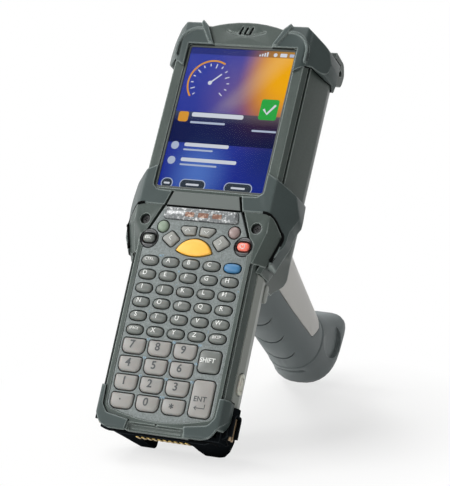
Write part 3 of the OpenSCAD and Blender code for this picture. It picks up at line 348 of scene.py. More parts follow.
def screen_place(name):
    """Position on the window, 0 to 1 from its lower left corner."""
    group, _, out = new_group(name, [], [(FLOAT, "Across"), (FLOAT, "Along")])
    place = own_place(group)
    across = add(group, "SeparateXYZ", {0: place}).outputs[0]
    along = add(group, "VectorMath", {
        0: place, 1: (0, 1000 * math.sin(LEAN), 1000 * math.cos(LEAN))
    }, operation="DOT_PRODUCT").outputs["Value"]
    start = WINDOW_Y0 - MID * math.sin(LEAN) - FLOOR_Z * math.cos(LEAN)
    feed(group, out, {
        "Across": ramp(group, across, -WINDOW_R / 1000, WINDOW_R / 1000),
        "Along": ramp(group, along, start, start + WINDOW_Y1 - WINDOW_Y0),
    })
    return group


# ---- materials ----
def rgba(value):
    """A colour as a socket takes it."""
    return (*value, 1.0)


def lighter(value, share):
    """Mixed with white, or with black where the share is below zero."""
    if share < 0:
        return [c * (1 + share) for c in value]
    return [c + (1 - c) * share for c in value]


def tone(given):
    """Linear values of a hex code, a colour of the panel, or a (colour, share lighter)."""
    if isinstance(given, tuple):
        return lighter(tone(given[0]), given[1])
    colours = bpy.context.scene.terminal_colours
    return list(getattr(colours, given)) if hasattr(colours, given) else srgb(given)


def surfaced(tree, build, values):
    """A shared surface group with this material's values."""
    return add(tree, "Group", values, node_tree=shared(build)).outputs


def wire(tree, shader, colour_in, rough, bump, plain):
    """Feeds the shader with a colour, a roughness, a bump and plain values."""
    raised = add(tree, "Bump", bump).outputs["Normal"]
    feed(tree, shader, {"Base Color": colour_in, "Roughness": rough, "Normal": raised} | plain)


def moulded(tree, shader, base, rough=0.5, grain=1500.0, contrast=0.06, wear=0.35, worn=None,
            blotches=0.05, coat=0.0, metallic=0.0, specular=0.5, subsurface=0.0, edge=0.0005,
            crevice=0.6):
    """Moulded plastic, rubber or metal."""
    surface = surfaced(tree, moulded_surface, {
        "Colour": rgba(base), "Worn": rgba(tone(worn) if worn else lighter(base, 0.3)),
        "Grain Scale": grain, "Grain Contrast": contrast, "Blotches": blotches, "Wear": wear,
        "Roughness": rough, "Roughness Spread": 0.06, "Edge": edge, "Crevice": crevice,
    })
    wire(tree, shader, surface["Colour"], surface["Roughness"], {
        "Height": surface["Height"], "Normal": surface["Normal"],
        "Distance": 0.00002, "Strength": 1.0,
    }, {
        "Metallic": metallic, "Coat Weight": coat, "Coat Roughness": 0.15,
        "Specular IOR Level": specular,
        "Subsurface Weight": subsurface, "Subsurface Scale": 0.001,
    })


def polished(tree, shader, base, rough, coat):
    """Gloss with dust and smears."""
    surface = surfaced(tree, polished_surface, {
        "Colour": rgba(base), "Dust": rgba(lighter(base, 0.4)), "Dust Amount": 0.1,
        "Roughness": rough, "Smear": 0.08,
    })
    wire(tree, shader, surface["Colour"], surface["Roughness"], {
        "Height": surface["Height"], "Distance": 0.000004, "Strength": 0.4,
    }, {"Coat Weight": coat})


def prismatic(tree, shader, base, glint):
    """A clear ribbed lens, with small pale glints painted into its colour as highlights."""
    place = own_place(tree)
    cell = add(tree, "TexVoronoi", {"Vector": place, "Scale": 900.0},
               feature="SMOOTH_F1").outputs["Distance"]
    mist = cloud(tree, place, 420.0, 3.0, 0.7)
    painted_glint_mask = times(tree, ramp(tree, cell, 0.5, 0.15), ramp(tree, mist, 0.42, 0.62))
    wire(tree, shader, mix(tree, painted_glint_mask, rgba(base), rgba(tone(glint))),
         ramp(tree, mist, *NOISE_SPAN, 0.12, 0.3),
         {"Height": mist, "Distance": 0.0002, "Strength": 0.6}, {"Coat Weight": 0.4})


def glazing(tree, shader, tint, shine):
    """A thin clear sheet: see-through, with a weak mirror image and fine dust."""
    surface = surfaced(tree, polished_surface, {
        "Colour": rgba(tint), "Dust": (0.6, 0.6, 0.6, 1), "Dust Amount": 0.02,
        "Roughness": 0.08, "Smear": 0.03,
    })
    through = add(tree, "BsdfTransparent", {"Color": surface["Colour"]})
    mirror = add(tree, "BsdfGlossy", {
        "Color": (shine, shine, shine, 1), "Roughness": surface["Roughness"]
    })
    fresnel = add(tree, "Fresnel", {"IOR": 1.4}).outputs[0]
    behind = add(tree, "NewGeometry").outputs["Backfacing"]
    share = times(tree, fresnel, math_node(tree, "SUBTRACT", 1.0, behind))
    blend = add(tree, "MixShader", {
        0: share, 1: through.outputs[0], 2: mirror.outputs[0]
    })
    feed(tree, tree.nodes["Material Output"], {"Surface": blend.outputs[0]})
    tree.nodes.remove(shader)


def window_place(tree):
    return add(tree, "Group", node_tree=shared(screen_place)).outputs


def glowing(tree, shader, picture, strength):
    """Lets the shader give off the picture and reflect next to nothing."""
    feed(tree, shader, {
        "Base Color": rgba(srgb("0A0B10")), "Specular IOR Level": 0.0,
        "Emission Color": picture, "Emission Strength": strength,
    })


def lit(tree, shader, ink):
    """An ink of the lit picture, a little dimmer towards the bottom."""
    v = window_place(tree)["Along"]
    glowing(tree, shader, mix(tree, v, rgba(lighter(ink, -0.12)), rgba(ink)), 0.95)


def spot(tree, u, v, centre, reach, core, strength, stretch=1.0):
    """A soft round mask, full within its core."""
    dx = times(tree, math_node(tree, "SUBTRACT", u, centre[0]), stretch)
    dy = math_node(tree, "SUBTRACT", v, centre[1])
    square = math_node(tree, "ADD", times(tree, dx, dx), times(tree, dy, dy))
    far = math_node(tree, "SQRT", square)
    return ramp(tree, far, reach, core, 0.0, strength, "SMOOTHSTEP")


# Patches of the screen's picture: centre, reach, full core, colour, strength and stretch
SPOTS = (
    ((0.52, 0.68), 0.4, 0.0, "7E6296", 0.62, 1.0), ((0.78, 0.62), 0.36, 0.0, "A8583A", 0.8, 1.0),
    ((0.98, 0.84), 0.58, 0.0, "E2800F", 0.97, 1.15), ((0.96, 0.86), 0.48, 0.1, "warm", 1.0, 1.0),
    ((0.34, 0.12), 0.36, 0.0, "5E86D2", 0.7, 1.0), ((0.95, 0.3), 0.4, 0.0, "17265E", 0.7, 1.0),
)


def screen_picture(tree, shader, cool):
    """The lit picture: glowing patches from a cool corner to a warm one, with a dark band."""
    u, v = window_place(tree)
    picture = mix(tree, v, rgba(cool), rgba(srgb("3F49A6")))
    for centre, reach, core, code, strength, stretch in SPOTS:
        mask = spot(tree, u, v, centre, reach, core, strength, stretch)
        picture = mix(tree, mask, picture, rgba(tone(code)))
    beam = math_node(tree, "ADD", times(tree, u, -0.9), v)
    shaft = times(tree, ramp(tree, beam, 0.02, 0.14), ramp(tree, beam, 0.3, 0.2, 0.0, 0.16))
    above = times(tree, shaft, ramp(tree, v, 0.5, 0.62))
    picture = mix(tree, above, picture, rgba(srgb("E9D6B4")))
    band = times(tree, ramp(tree, v, 0.325, 0.33), ramp(tree, v, 0.545, 0.54, 0.0, 0.85))
    row = mix(tree, ramp(tree, v, 0.47, 0.545), rgba(srgb("0D1434")), rgba(srgb("4C5460")))
    picture = mix(tree, band, picture, row)
    ruled = times(tree, ramp(tree, v, 0.945, 0.95), 0.5)
    glowing(tree, shader, mix(tree, ruled, picture, rgba(srgb("1C2036"))), 1.02)


# An edge colour paler than the base paints a highlight along the edges and also stands for wear
CASE_WEAR_AND_EDGE_LIGHT = {"grain": 1700, "wear": 1.0, "worn": "B0BAB6", "edge": 0.0008}
STEEL = {"rough": 0.3, "grain": 3000, "metallic": 1.0, "wear": 0.1}
KEY_CAP = {"rough": 0.42, "grain": 2200, "contrast": 0.03}
BRIGHT_KEY = {"grain": 2600, "contrast": 0.02}
HANDLE = {"grain": 2400, "contrast": 0.03, "blotches": 0.03}
PRINT = {"grain": 2600, "wear": 0.0}
# The moulded finishes: base colour, and what differs from the settings of moulded
MOULDED = {
    "case_dark": ("case", CASE_WEAR_AND_EDGE_LIGHT | {"rough": 0.34, "contrast": 0.14, "specular": 0.2}),
    "keypad_plastic": ("case", CASE_WEAR_AND_EDGE_LIGHT | {"rough": 0.36, "contrast": 0.12, "specular": 0.22}),
    "name_plate": (("case", 0.03), {"grain": 2400, "contrast": 0.04}),
    "gasket_rubber": (("case", -0.45), {"rough": 0.45, "grain": 2600, "wear": 0.5}),
    "bumper_rubber": ("rubber", {"rough": 0.38, "grain": 2300, "specular": 0.18, "wear": 1.0,
                                 "worn": "9EA9A6", "edge": 0.0012}),
    "keypad_plate": ("plate", {"grain": 1300, "contrast": 0.3, "wear": 0.9, "worn": "BCC5C3",
                               "specular": 0.3, "crevice": 0.9}),
    "boss_plastic": ("1E2224", {"rough": 0.3, "grain": 2200, "wear": 0.4, "coat": 0.3}),
    "mat_rubber": ("2A2E2E", {"rough": 0.7, "grain": 2400}),
    "side_plastic": ("side", {"rough": 0.36, "grain": 2200, "contrast": 0.04, "wear": 0.5}),
    "base_black": ("base", {"rough": 0.32, "grain": 2600, "contrast": 0.05, "wear": 0.25,
                            "worn": "7C8488", "specular": 0.0}),
    "contact_gold": ("B89A55", STEEL),
    "contact_bronze": ("A18A6C", STEEL | {"rough": 0.34, "metallic": 0.8}),
    "pin_steel": ("9FA2A4", STEEL),
    "screw_black": ("0B0C0D", {"rough": 0.45, "grain": 3000, "wear": 0.1}),
    "board_green": ("1F4D33", {"grain": 1200}),
    "inner_black": ("141516", {"rough": 0.6, "grain": 2000}),
    # Painted shade in the seams between the mouldings
    "seam_black": ("060707", {"rough": 0.8, "grain": 2000, "wear": 0.0, "specular": 0.05}),
    "engine_metal": ("6F7476", {"rough": 0.4, "grain": 1800, "metallic": 0.6}),
    "handle_grey": ("handle", {"rough": 0.42, "grain": 2600, "contrast": 0.02, "wear": 0.2,
                               "blotches": 0.02}),
    "grip_rubber": ("grip", HANDLE | {"wear": 0.3}),
    "foot_plastic": (("grip", 0.02), HANDLE | {"wear": 0.4}),
    "trigger_plastic": (("grip", -0.2), {"rough": 0.45, "grain": 2200}),
    "battery_black": ("1D1F21", {"grain": 1700}),
    "release_ivory": ("release", {"rough": 0.4, "grain": 2600, "contrast": 0.03,
                                  "subsurface": 0.1}),
    "key_grey": ("letters", KEY_CAP | {"rough": 0.4, "wear": 0.8, "worn": "B9BDB8",
                                       "subsurface": 0.05}),
    # The number keys' darker rims are painted shade
    "key_light": ("digits", KEY_CAP | {"wear": 0.8, "worn": "6A6D6B", "subsurface": 0.08,
                                       "edge": 0.001}),
    "key_green": ("7F8F7C", KEY_CAP | {"rough": 0.4, "grain": 2400}),
    "key_rose": ("94807C", KEY_CAP | {"rough": 0.4, "grain": 2400}),
    "key_nav": ("8C8D88", KEY_CAP),
    "key_red": ("power", BRIGHT_KEY | {"rough": 0.35, "wear": 0.2}),
    "key_orange": ("scan", BRIGHT_KEY | {"rough": 0.38, "wear": 0.25, "subsurface": 0.08}),
    "key_blue": ("blue", BRIGHT_KEY | {"rough": 0.4, "wear": 0.25}),
    "print_white": ("E6E8E4", PRINT), "print_dark": ("3A3E40", PRINT),
    "print_blue": ("8FB2C8", PRINT),
}
# The other finishes: how each is made, its base colour and its settings
CLEAR_OR_LIT = {
    # The lenses' glints are painted highlights
    "lens_plastic": (prismatic, "6C7071", {"glint": "F4F6F6"}),
    "lens_amber": (prismatic, "7A5240", {"glint": "D2B7A2"}),
    "scan_glass": (polished, "2A0D10", {"rough": 0.05, "coat": 0.8}),
    "touch_glass": (glazing, "F4F6F8", {"shine": 0.09}),
    "lcd_face": (screen_picture, "cool", {}),
    "lit_white": (lit, "E9EBF2", {}), "lit_pale": (lit, "C3CCE2", {}),
    "lit_green": (lit, "35B54A", {}), "lit_amber": (lit, "F0A53A", {}),
    "lit_dark": (lit, "3C444D", {}),
}


def blank_material(name):
    """A new material with its node tree and main shader."""
    made = bpy.data.materials.new(name + "_finish")
    made.use_nodes = True
    return made, made.node_tree, made.node_tree.nodes["Principled BSDF"]


def finish(name):
    """The material of a finish, made on its first use."""
    if name + "_finish" in bpy.data.materials:
        return bpy.data.materials[name + "_finish"]
    made, tree, shader = blank_material(name)
    maker, base, settings = CLEAR_OR_LIT.get(name) or (moulded, *MOULDED[name])
    maker(tree, shader, tone(base), **settings)
    made.diffuse_color = rgba(tone(base))
    return made


# ---- mesh building ----
def unit2(x, y):
    """The direction of a flat vector."""
    size = math.hypot(x, y) or 1.0
    return x / size, y / size


def arc(cx, cy, r, a0, a1, n):
    """Points of an arc between two angles in degrees."""
    return [(cx + r * math.cos(math.radians(a0 + (a1 - a0) * i / n)),
             cy + r * math.sin(math.radians(a0 + (a1 - a0) * i / n))) for i in range(n + 1)]


def rounded(corners):
    """A closed outline whose corners (x, y, radius) are rounded."""
    out, n = [], 8
    for i, b in enumerate(corners):
        a, c = corners[i - 1], corners[(i + 1) % len(corners)]
        if len(b) < 3 or not b[2]:
            out.append((b[0], b[1]))
            continue
        ux, uy = unit2(a[0] - b[0], a[1] - b[1])
        vx, vy = unit2(c[0] - b[0], c[1] - b[1])
        half = math.acos(max(-1, min(1, ux * vx + uy * vy))) / 2
        wx, wy = unit2(ux + vx, uy + vy)
        mx, my = b[0] + wx * b[2] / math.sin(half), b[1] + wy * b[2] / math.sin(half)
        run = b[2] / math.tan(half)
        a0 = math.atan2(b[1] + uy * run - my, b[0] + ux * run - mx)
        a1 = math.atan2(b[1] + vy * run - my, b[0] + vx * run - mx)
        turn = (a1 - a0 + math.pi) % (2 * math.pi) - math.pi
        out += [(mx + b[2] * math.cos(a0 + turn * k / n), my + b[2] * math.sin(a0 + turn * k / n))
                for k in range(n + 1)]
    return out


def slab(cx, cy, w, l, r):
    """A rectangle with rounded corners."""
    return rounded([(cx - w / 2, cy - l / 2, r), (cx + w / 2, cy - l / 2, r),
                    (cx + w / 2, cy + l / 2, r), (cx - w / 2, cy + l / 2, r)])


def ccw(points):
    """The outline, run anticlockwise."""
    area = sum(a[0] * b[1] - b[0] * a[1] for a, b in zip(points, points[1:] + points[:1]))
    return points if area > 0 else points[::-1]


def cleaned(points):
    """The outline without points that all but meet."""
    out, least = [], 0.02
    for p in points:
        if not out or math.hypot(p[0] - out[-1][0], p[1] - out[-1][1]) > least:
            out.append(p)
    if math.hypot(out[0][0] - out[-1][0], out[0][1] - out[-1][1]) <= least:
        out.pop()
    return out


def inset(points, d):
    """The outline moved inwards by d along its corner normals."""
    out, n = [], len(points)
    for i, p in enumerate(points):
        a, c = points[i - 1], points[(i + 1) % n]
        e0, e1 = unit2(p[0] - a[0], p[1] - a[1]), unit2(c[0] - p[0], c[1] - p[1])
        nx, ny = unit2(-e0[1] - e1[1], e0[0] + e1[0])
        share = max(0.5, nx * -e0[1] + ny * e0[0])
        out.append((p[0] + nx * d / share, p[1] + ny * d / share))
    return out


def shown(name, data):
    """A new object in the scene."""
    made = bpy.data.objects.new(name, data)
    bpy.context.scene.collection.objects.link(made)
    return made


def body_of(node):
    """The name of the body that a CAD node rides on."""
    return frame["nodes"][node]["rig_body"]


def piece(name, bm, body, material, replaces=(), smooth=40.0):
    """A finished mesh object that rides on its body."""
    bmesh.ops.recalc_face_normals(bm, faces=bm.faces)
    mesh = bpy.data.meshes.new(name)
    bm.to_mesh(mesh)
    bm.free()
    made = shown(name, mesh)
    mesh.materials.append(finish(material))
    for face in mesh.polygons:
        face.use_smooth = True
    mesh.set_sharp_from_angle(angle=math.radians(smooth))
    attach(made, body)
    if replaces:
        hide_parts(*replaces)
    return made


def bridge(bm, below, above):
    """The faces between two rings of vertices."""
    n = len(below)
    for i in range(n):
        bm.faces.new((below[i], below[(i + 1) % n], above[(i + 1) % n], above[i]))


def loft(bm, rings, closed=True):
    """Skins rings of equal length over a bottom, with or without a top, to the last ring."""
    made = [[bm.verts.new(p) for p in ring] for ring in rings]
    for below, above in zip(made, made[1:]):
        bridge(bm, below, above)
    bm.faces.new(made[0][::-1])
    if closed:
        bm.faces.new(made[-1])
    return made[-1]


def crown(points, x, y, dome):
    """Height of a key's domed top at a place over its outline."""
    xs, ys = [p[0] for p in points], [p[1] for p in points]
    cx, cy = (min(xs) + max(xs)) / 2, (min(ys) + max(ys)) / 2
    rx, ry = (max(xs) - min(xs)) / 2, (max(ys) - min(ys)) / 2
    return KEY_PROUD - dome * min(1.0, ((x - cx) / rx) ** 2 + ((y - cy) / ry) ** 2)


def drawn_in(points, centre, d):
    """The outline moved towards its centre by d, for outlines that bulge everywhere."""
    out = []
    for x, y in points:
        reach = math.hypot(x - centre[0], y - centre[1])
        out.append((x + (centre[0] - x) * d / reach, y + (centre[1] - y) * d / reach))
    return out


def pillow(bm, outline, shoulder, dome):
    """A key cap on its flange, with straight sides, a rounded shoulder and a domed top."""
    points = ccw(cleaned(outline))
    cx = sum(p[0] for p in points) / len(points)
    cy = sum(p[1] for p in points) / len(points)
    wide = inset(points, -FLANGE)
    rings = [[(x, y, KEY_ROOT) for x, y in wide]]
    rings += [[(x, y, KEY_ROOT + FLANGE_T) for x, y in ring] for ring in (wide, points)]
    steps = 5
    for k in range(steps + 1):
        a = math.pi / 2 * k / steps
        drop = shoulder * 0.75 * (1 - math.sin(a))
        edge = drawn_in(points, (cx, cy), shoulder * (1 - math.cos(a)))
        rings.append([(x, y, crown(points, x, y, dome) - drop) for x, y in edge])
    edge = drawn_in(points, (cx, cy), shoulder)
    for share in (0.75, 0.5, 0.25):
        ring = [(cx + (x - cx) * share, cy + (y - cy) * share) for x, y in edge]
        rings.append([(x, y, crown(points, x, y, dome)) for x, y in ring])
    last = loft(bm, [[KEYPAD @ Vector(p) for p in ring] for ring in rings], False)
    tip = bm.verts.new(KEYPAD @ Vector((cx, cy, crown(points, cx, cy, dome))))
    for i in range(len(last)):
        bm.faces.new((last[i], last[(i + 1) % len(last)], tip))


def prism(bm, outline, z0, z1, matrix, edge=0.0):
    """An extruded outline with chamfered rims."""
    points = ccw(cleaned(outline))
    rings = [[(x, y, z0) for x, y in points]]
    if edge:
        rings.append([(x, y, z1 - edge) for x, y in points])
        rings.append([(x, y, z1) for x, y in inset(points, edge)])
    else:
        rings.append([(x, y, z1) for x, y in points])
    loft(bm, [[matrix @ Vector(p) for p in ring] for ring in rings])


def welded(node):
    """A copy of a CAD node's mesh with its doubled vertices joined."""
    bm = bmesh.new()
    bm.from_mesh(frame["nodes"][node].data)
    bmesh.ops.remove_doubles(bm, verts=bm.verts, dist=WELD)
    return bm


def tree_of(mesh):
    """The mesh's surface, for finding the nearest point on it."""
    return BVHTree.FromPolygons([v.co for v in mesh.vertices], [p.vertices for p in mesh.polygons])


def skin(node, material, width, angle=ROUND_ANGLE):
    """A copy of a CAD node with its edges rounded as far as they can be, which stands for it."""
    made = piece(node + "_finish", welded(node), body_of(node), material,
                 (node,), 30)
    near = tree_of(made.data)
    rounding = made.modifiers.new("Rounding", "BEVEL")
    rounding.segments = ROUND_STEPS
    rounding.limit_method = "ANGLE"
    rounding.angle_limit = math.radians(angle)
    rounding.miter_outer = "MITER_ARC"
    rounding.harden_normals = True
    # A rounding that throws a vertex off the surface is tried again, narrower
    for share, clamped in ((1.0, False), (0.6, False), (0.35, False), (1.0, True)):
        rounding.width = width * share / 1000
        rounding.use_clamp_overlap = clamped
        view = made.evaluated_get(bpy.context.evaluated_depsgraph_get())
        off = max(near.find_nearest(vert.co)[3] for vert in view.data.vertices)
        if off < 0.0007 * width * share + 0.00001:
            break
    else:
        made.modifiers.remove(rounding)
    return made


def seam(bm, node, other, radius, gap):
    """Dark six-sided cords, painted shade, along the sharp edges of one CAD node that lie on
    another.
    """
    own = welded(node)
    own.normal_update()
    near = tree_of(frame["nodes"][other].data)
    for edge in own.edges:
        if len(edge.link_faces) != 2 or edge.calc_face_angle(0) < SEAM_ANGLE:
            continue
        a, b = (vert.co.copy() for vert in edge.verts)
        if max(near.find_nearest(point)[3] for point in (a, b, (a + b) / 2)) > gap:
            continue
        inward = -(edge.link_faces[0].normal + edge.link_faces[1].normal).normalized()
        along = (b - a).normalized()
        across = along.cross(inward)
        rings = []
        for end, push in ((a, -0.4), (b, 0.4)):
            centre = end + along * radius * push + inward * radius * 0.7
            rings.append([centre + (across * math.cos(t) + inward * math.sin(t)) * radius
                          for t in (math.pi / 3 * k for k in range(6))])
        loft(bm, rings)
    own.free()


def dress(material, *nodes):
    """Gives CAD nodes that stay their finish."""
    for node in nodes:
        kept = frame["nodes"][node]
        kept.data.materials.clear()
        kept.data.materials.append(finish(material))


def dense(points):
    """The closed outline with its points close together."""
    out, step = [], 0.4
    for a, b in zip(points, points[1:] + points[:1]):
        n = max(1, math.ceil(math.hypot(b[0] - a[0], b[1] - a[1]) / step))
        out += [(a[0] + (b[0] - a[0]) * k / n, a[1] + (b[1] - a[1]) * k / n) for k in range(n)]
    return out


def without_disc(points, cx, cy, r):
    """The outline cut back along a circle that crosses it."""
    points, steps = dense(ccw(points)), 30
    outside = [math.hypot(x - cx, y - cy) > r for x, y in points]
    start = next(i for i in range(len(points)) if outside[i] and not outside[i - 1])
    order = points[start:] + points[:start]
    kept = [p for p in order if math.hypot(p[0] - cx, p[1] - cy) > r]
    a0 = math.atan2(kept[-1][1] - cy, kept[-1][0] - cx)
    a1 = math.atan2(kept[0][1] - cy, kept[0][0] - cx)
    turn = (a1 - a0) % (2 * math.pi) - 2 * math.pi
    bite = [a0 + turn * k / steps for k in range(1, steps)]
    return kept + [(cx + r * math.cos(a), cy + r * math.sin(a)) for a in bite]


def pierced(bm, outlines, z0, z1, edge):
    """A plate of the first outline with the others as holes, its upper rims rounded."""
    steps = 3
    turns = [math.pi / 2 * k / steps for k in range(steps + 1)]
    levels = [(0.0, z0)]
    levels += [(edge * (1 - math.cos(a)), z1 - edge * (1 - math.sin(a))) for a in turns]
    loops = [cleaned(ccw(outline)) for outline in outlines]
    rows = []
    for cut, z in levels:
        row = []
        for number, loop in enumerate(loops):
            moved = inset(loop, cut if number == 0 else -cut) if cut else loop
            row.append([bm.verts.new(KEYPAD @ Vector((x, y, z))) for x, y in moved])
        rows.append(row)
    for below, above in zip(rows, rows[1:]):
        for a, b in zip(below, above):
            bridge(bm, a, b)
    for row in (rows[0], rows[-1]):
        flat = [vert for ring in row for vert in ring]
        for corners in tessellate_polygon([[vert.co for vert in ring] for ring in row]):
            if len(set(corners)) == 3:
                bm.faces.new([flat[k] for k in corners])


# ---- lettering ----
def key_top(outline, dome):
    """The height of a key's top at a place; without an outline, that of the plate."""
    if outline is None:
        return lambda x, y: 0.0
    points = ccw(cleaned(outline))
    return lambda x, y: crown(points, x, y, dome)


def lettering(bm, text, x, y, size, weight, height, top):
    """Printed characters, laid on the surface whose height top(x, y) gives."""
    curve = bpy.data.curves.new("print", "FONT")
    curve.body = text
    curve.size = size
    curve.align_x = curve.align_y = "CENTER"
    curve.offset = weight
    curve.extrude = height / 2
    curve.resolution_u = 3
    holder = shown("print", curve)
    view = bpy.context.evaluated_depsgraph_get()
    mesh = bpy.data.meshes.new_from_object(holder.evaluated_get(view))
    own = bmesh.new()
    own.from_mesh(mesh)
    for axis in (0, 1):
        normal = Vector((1 - axis, axis, 0))
        low, high = (fit(vert.co[axis] for vert in own.verts) for fit in (min, max))
        count = math.ceil((high - low) / CUT_STEP)
        for k in range(1, count):
            bmesh.ops.bisect_plane(own, geom=own.verts[:] + own.edges[:] + own.faces[:],
                                   plane_co=normal * (low + (high - low) * k / count),
                                   plane_no=normal)
    for vert in own.verts:
        px, py = x + vert.co.x, y + vert.co.y
        lift = top(px, py) + LEGEND_LIFT + height / 2
        vert.co = KEYPAD @ Vector((px, py, lift + vert.co.z))
    own.to_mesh(mesh)
    own.free()
    bm.from_mesh(mesh)
    bpy.data.objects.remove(holder)
    bpy.data.curves.remove(curve)
    bpy.data.meshes.remove(mesh)


def strokes(bm, points, width, matrix, height, top):
    """A printed line through points, laid on a surface."""
    left, right = [], []
    for i, p in enumerate(points):
        a, c = points[max(i - 1, 0)], points[min(i + 1, len(points) - 1)]
        dx, dy = unit2(c[0] - a[0], c[1] - a[1])
        left.append((p[0] - dy * width / 2, p[1] + dx * width / 2))
        right.append((p[0] + dy * width / 2, p[1] - dx * width / 2))
    loop = ccw(left + right[::-1])
    loft(bm, [[matrix @ Vector((x, y, top(x, y) + z)) for x, y in loop]
              for z in (LEGEND_LIFT, LEGEND_LIFT + height)])


# ---- outlines of the keys ----
def letter_at(col, row):
    """The middle of a letter key."""
    return (col - 2) * LETTER_STEP, FIELD_TOP - (row + 0.5) * LETTER_PITCH


def digit_at(col, row):
    """The middle of a number key."""
    top = FIELD_TOP - LETTER_ROWS * LETTER_PITCH
    return (col - 1.5) * DIGIT_STEP, top - (row + 0.5) * DIGIT_PITCH


def letter_outline(c):
    """A stretched oval, a little squarer than an ellipse."""
    out = []
    for k in range(OVAL_POINTS):
        a = 2 * math.pi * k / OVAL_POINTS
        x, y = math.cos(a), math.sin(a)
        out.append((c[0] + math.copysign(abs(x) ** OVAL, x) * LETTER_W / 2,
                    c[1] + math.copysign(abs(y) ** OVAL, y) * LETTER_L / 2))
    return out


def digit_outline(c):
    w, l = DIGIT_W / 2, DIGIT_L / 2
    return rounded([(c[0] - w, c[1] + l, 1), (c[0] - w, c[1] - l, 3),
                    (c[0] + w, c[1] - l, 3), (c[0] + w, c[1] + l, 1)])


# Middles of the shift and enter keys, each over two rows
SHIFT_C, ENTER_C = ((digit_at(3, row)[0], (digit_at(3, row)[1] + digit_at(3, row + 1)[1]) / 2 + 1.1)
                    for row in (0, 2))


def shift_outline():
    return slab(*SHIFT_C, DIGIT_W - 0.6, DIGIT_L + 3.6, 2.2)


def enter_outline():
    return slab(*ENTER_C, DIGIT_W - 0.6, DIGIT_L + DIGIT_PITCH + 1.6, 2.2)


def scan_outline():
    cy = FIELD_TOP + 2.2
    return arc(0, cy - 3.2, 10.2, 22, 158, 24) + arc(0, cy + 20, 21.6, 246, 294, 16)


def nav_side(s):
    return rounded([(s * 8.6, KINK_Y - 11.2, 1), (s * 12.6, KINK_Y - 15.6, 1.2),
                    (s * 18.6, KINK_Y - 11.4, 1.2), (s * 13.4, KINK_Y - 7.2, 1.2)])


def nav_top(s):
    return rounded([(s * 1.1, KINK_Y - 4.2, 0.6), (s * 1.1, KINK_Y - 8.4, 0.6),
                    (s * 6.4, KINK_Y - 9, 1.2), (s * 10.6, KINK_Y - 4.6, 1.2)])


def call_outline(s):
    return arc(s * 19, KINK_Y - 5.4, 2.9, 0, 350, 30)


def plate_outline():
    low = TAIL_ZONE + 1
    side = [(PLATE_R, low, 3), (PLATE_R, BOSS_Y - 6), (PLATE_R - 1.6, BOSS_Y + 4),
            (PLATE_TOP_R, PLATE_Y1)]
    other = [(-x, *rest) for x, *rest in side[::-1]]
    tail = arc(0, TAIL_ZONE - TAIL_SAG + TAIL_CURVE, TAIL_CURVE, 256, 284, 12)
    return rounded(side + other + tail)


def lens_outline(grow):
    x0, x1 = PLATE_TOP_R + 0.1 + grow, PLATE_TOP_R - 1.2 + grow
    y0, y1 = KINK_Y - 1.3 - grow, KINK_Y + 4.6 + grow
    return rounded([(x0, y0, 1.5), (x1, y1, 1.5), (-x1, y1, 1.5), (-x0, y0, 1.5)])


def boss_key_outline(s):
    return slab(s * BOSS_X, BOSS_Y, 6.4, 4.2, 2)


# Each key node: its finish and the outlines of its caps
KEYS = {
    "power_key": ("key_red", [boss_key_outline(1)]),
    "esc_key": ("key_grey", [boss_key_outline(-1)]),
    "scan_key": ("key_orange", [scan_outline()]),
    "talk_key": ("key_green", [call_outline(-1)]),
    "end_key": ("key_rose", [call_outline(1)]),
    "nav_left_key": ("key_nav", [nav_side(-1)]),
    "nav_up_key": ("key_nav", [nav_top(-1)]),
    "nav_down_key": ("key_nav", [nav_top(1)]),
    "nav_right_key": ("key_nav", [nav_side(1)]),
    "blue_key": ("key_blue", [letter_outline(letter_at(4, 0))]),
    "shift_key": ("key_grey", [shift_outline()]),
    "enter_key": ("key_light", [enter_outline()]),
}
for row in range(DIGIT_ROWS):
    caps = [digit_outline(digit_at(col, row)) for col in range(3)]
    KEYS["digit_keys_%d" % (row + 1)] = ("key_light", caps)
for row in range(LETTER_ROWS):
    caps = [letter_outline(letter_at(col, row)) for col in range(4 if row == 0 else 5)]
    KEYS["letter_keys_%d" % (row + 1)] = ("key_grey", caps)
BOSS_KEYS = ("power_key", "esc_key")

# ---- the prints on the keys and plate ----
LETTERS = [["CTRL", "A", "B", "C"], list("DEFGH"), list("IJKLM"), list("NOPQR"), list("STUVW"),
           ["SPACE", "X", "Y", "Z", "BKSP"]]
DIGITS = [list("789"), list("456"), list("123"), list(".0*")]
# Size of a word on a letter key, by its number of letters
LETTER_SIZES = {1: 3.3, 4: 2.1, 5: 1.75}
# How far a sign that sits off its line is moved back to the middle
DIGIT_DROPS = {"*": -1.4, ".": 1.4}
# Column, row and word of the small signs between the number keys and the letter keys
PLATE_DIGITS = ((0, 0, "F7"), (1, 0, "F8"), (2, 0, "F9"), (0, 1, "F4"), (1, 1, "F5"),
                (2, 1, "F6"), (0, 2, "F1"), (1, 2, "F2"), (2, 2, "F3"), (1, 3, "F10"))
PLATE_LETTERS = ((0, 0, "ALT"), (3, 1, "+"), (4, 1, "-"), (1, 2, "/"), (4, 2, "="),
                 (0, 4, "("), (2, 4, ":"), (3, 5, ")"), (1, 1, "#"))
# Middle and turn in degrees of the arrow on each navigation key
ARROWS = {
    "nav_left_key": (-13.4, KINK_Y - 11.0, 180), "nav_up_key": (-5.0, KINK_Y - 6.4, 90),
    "nav_down_key": (5.0, KINK_Y - 6.8, -90), "nav_right_key": (13.4, KINK_Y - 11.2, 0),
}
SIGN_LINE, POWER_LINE = 0.4, 0.35
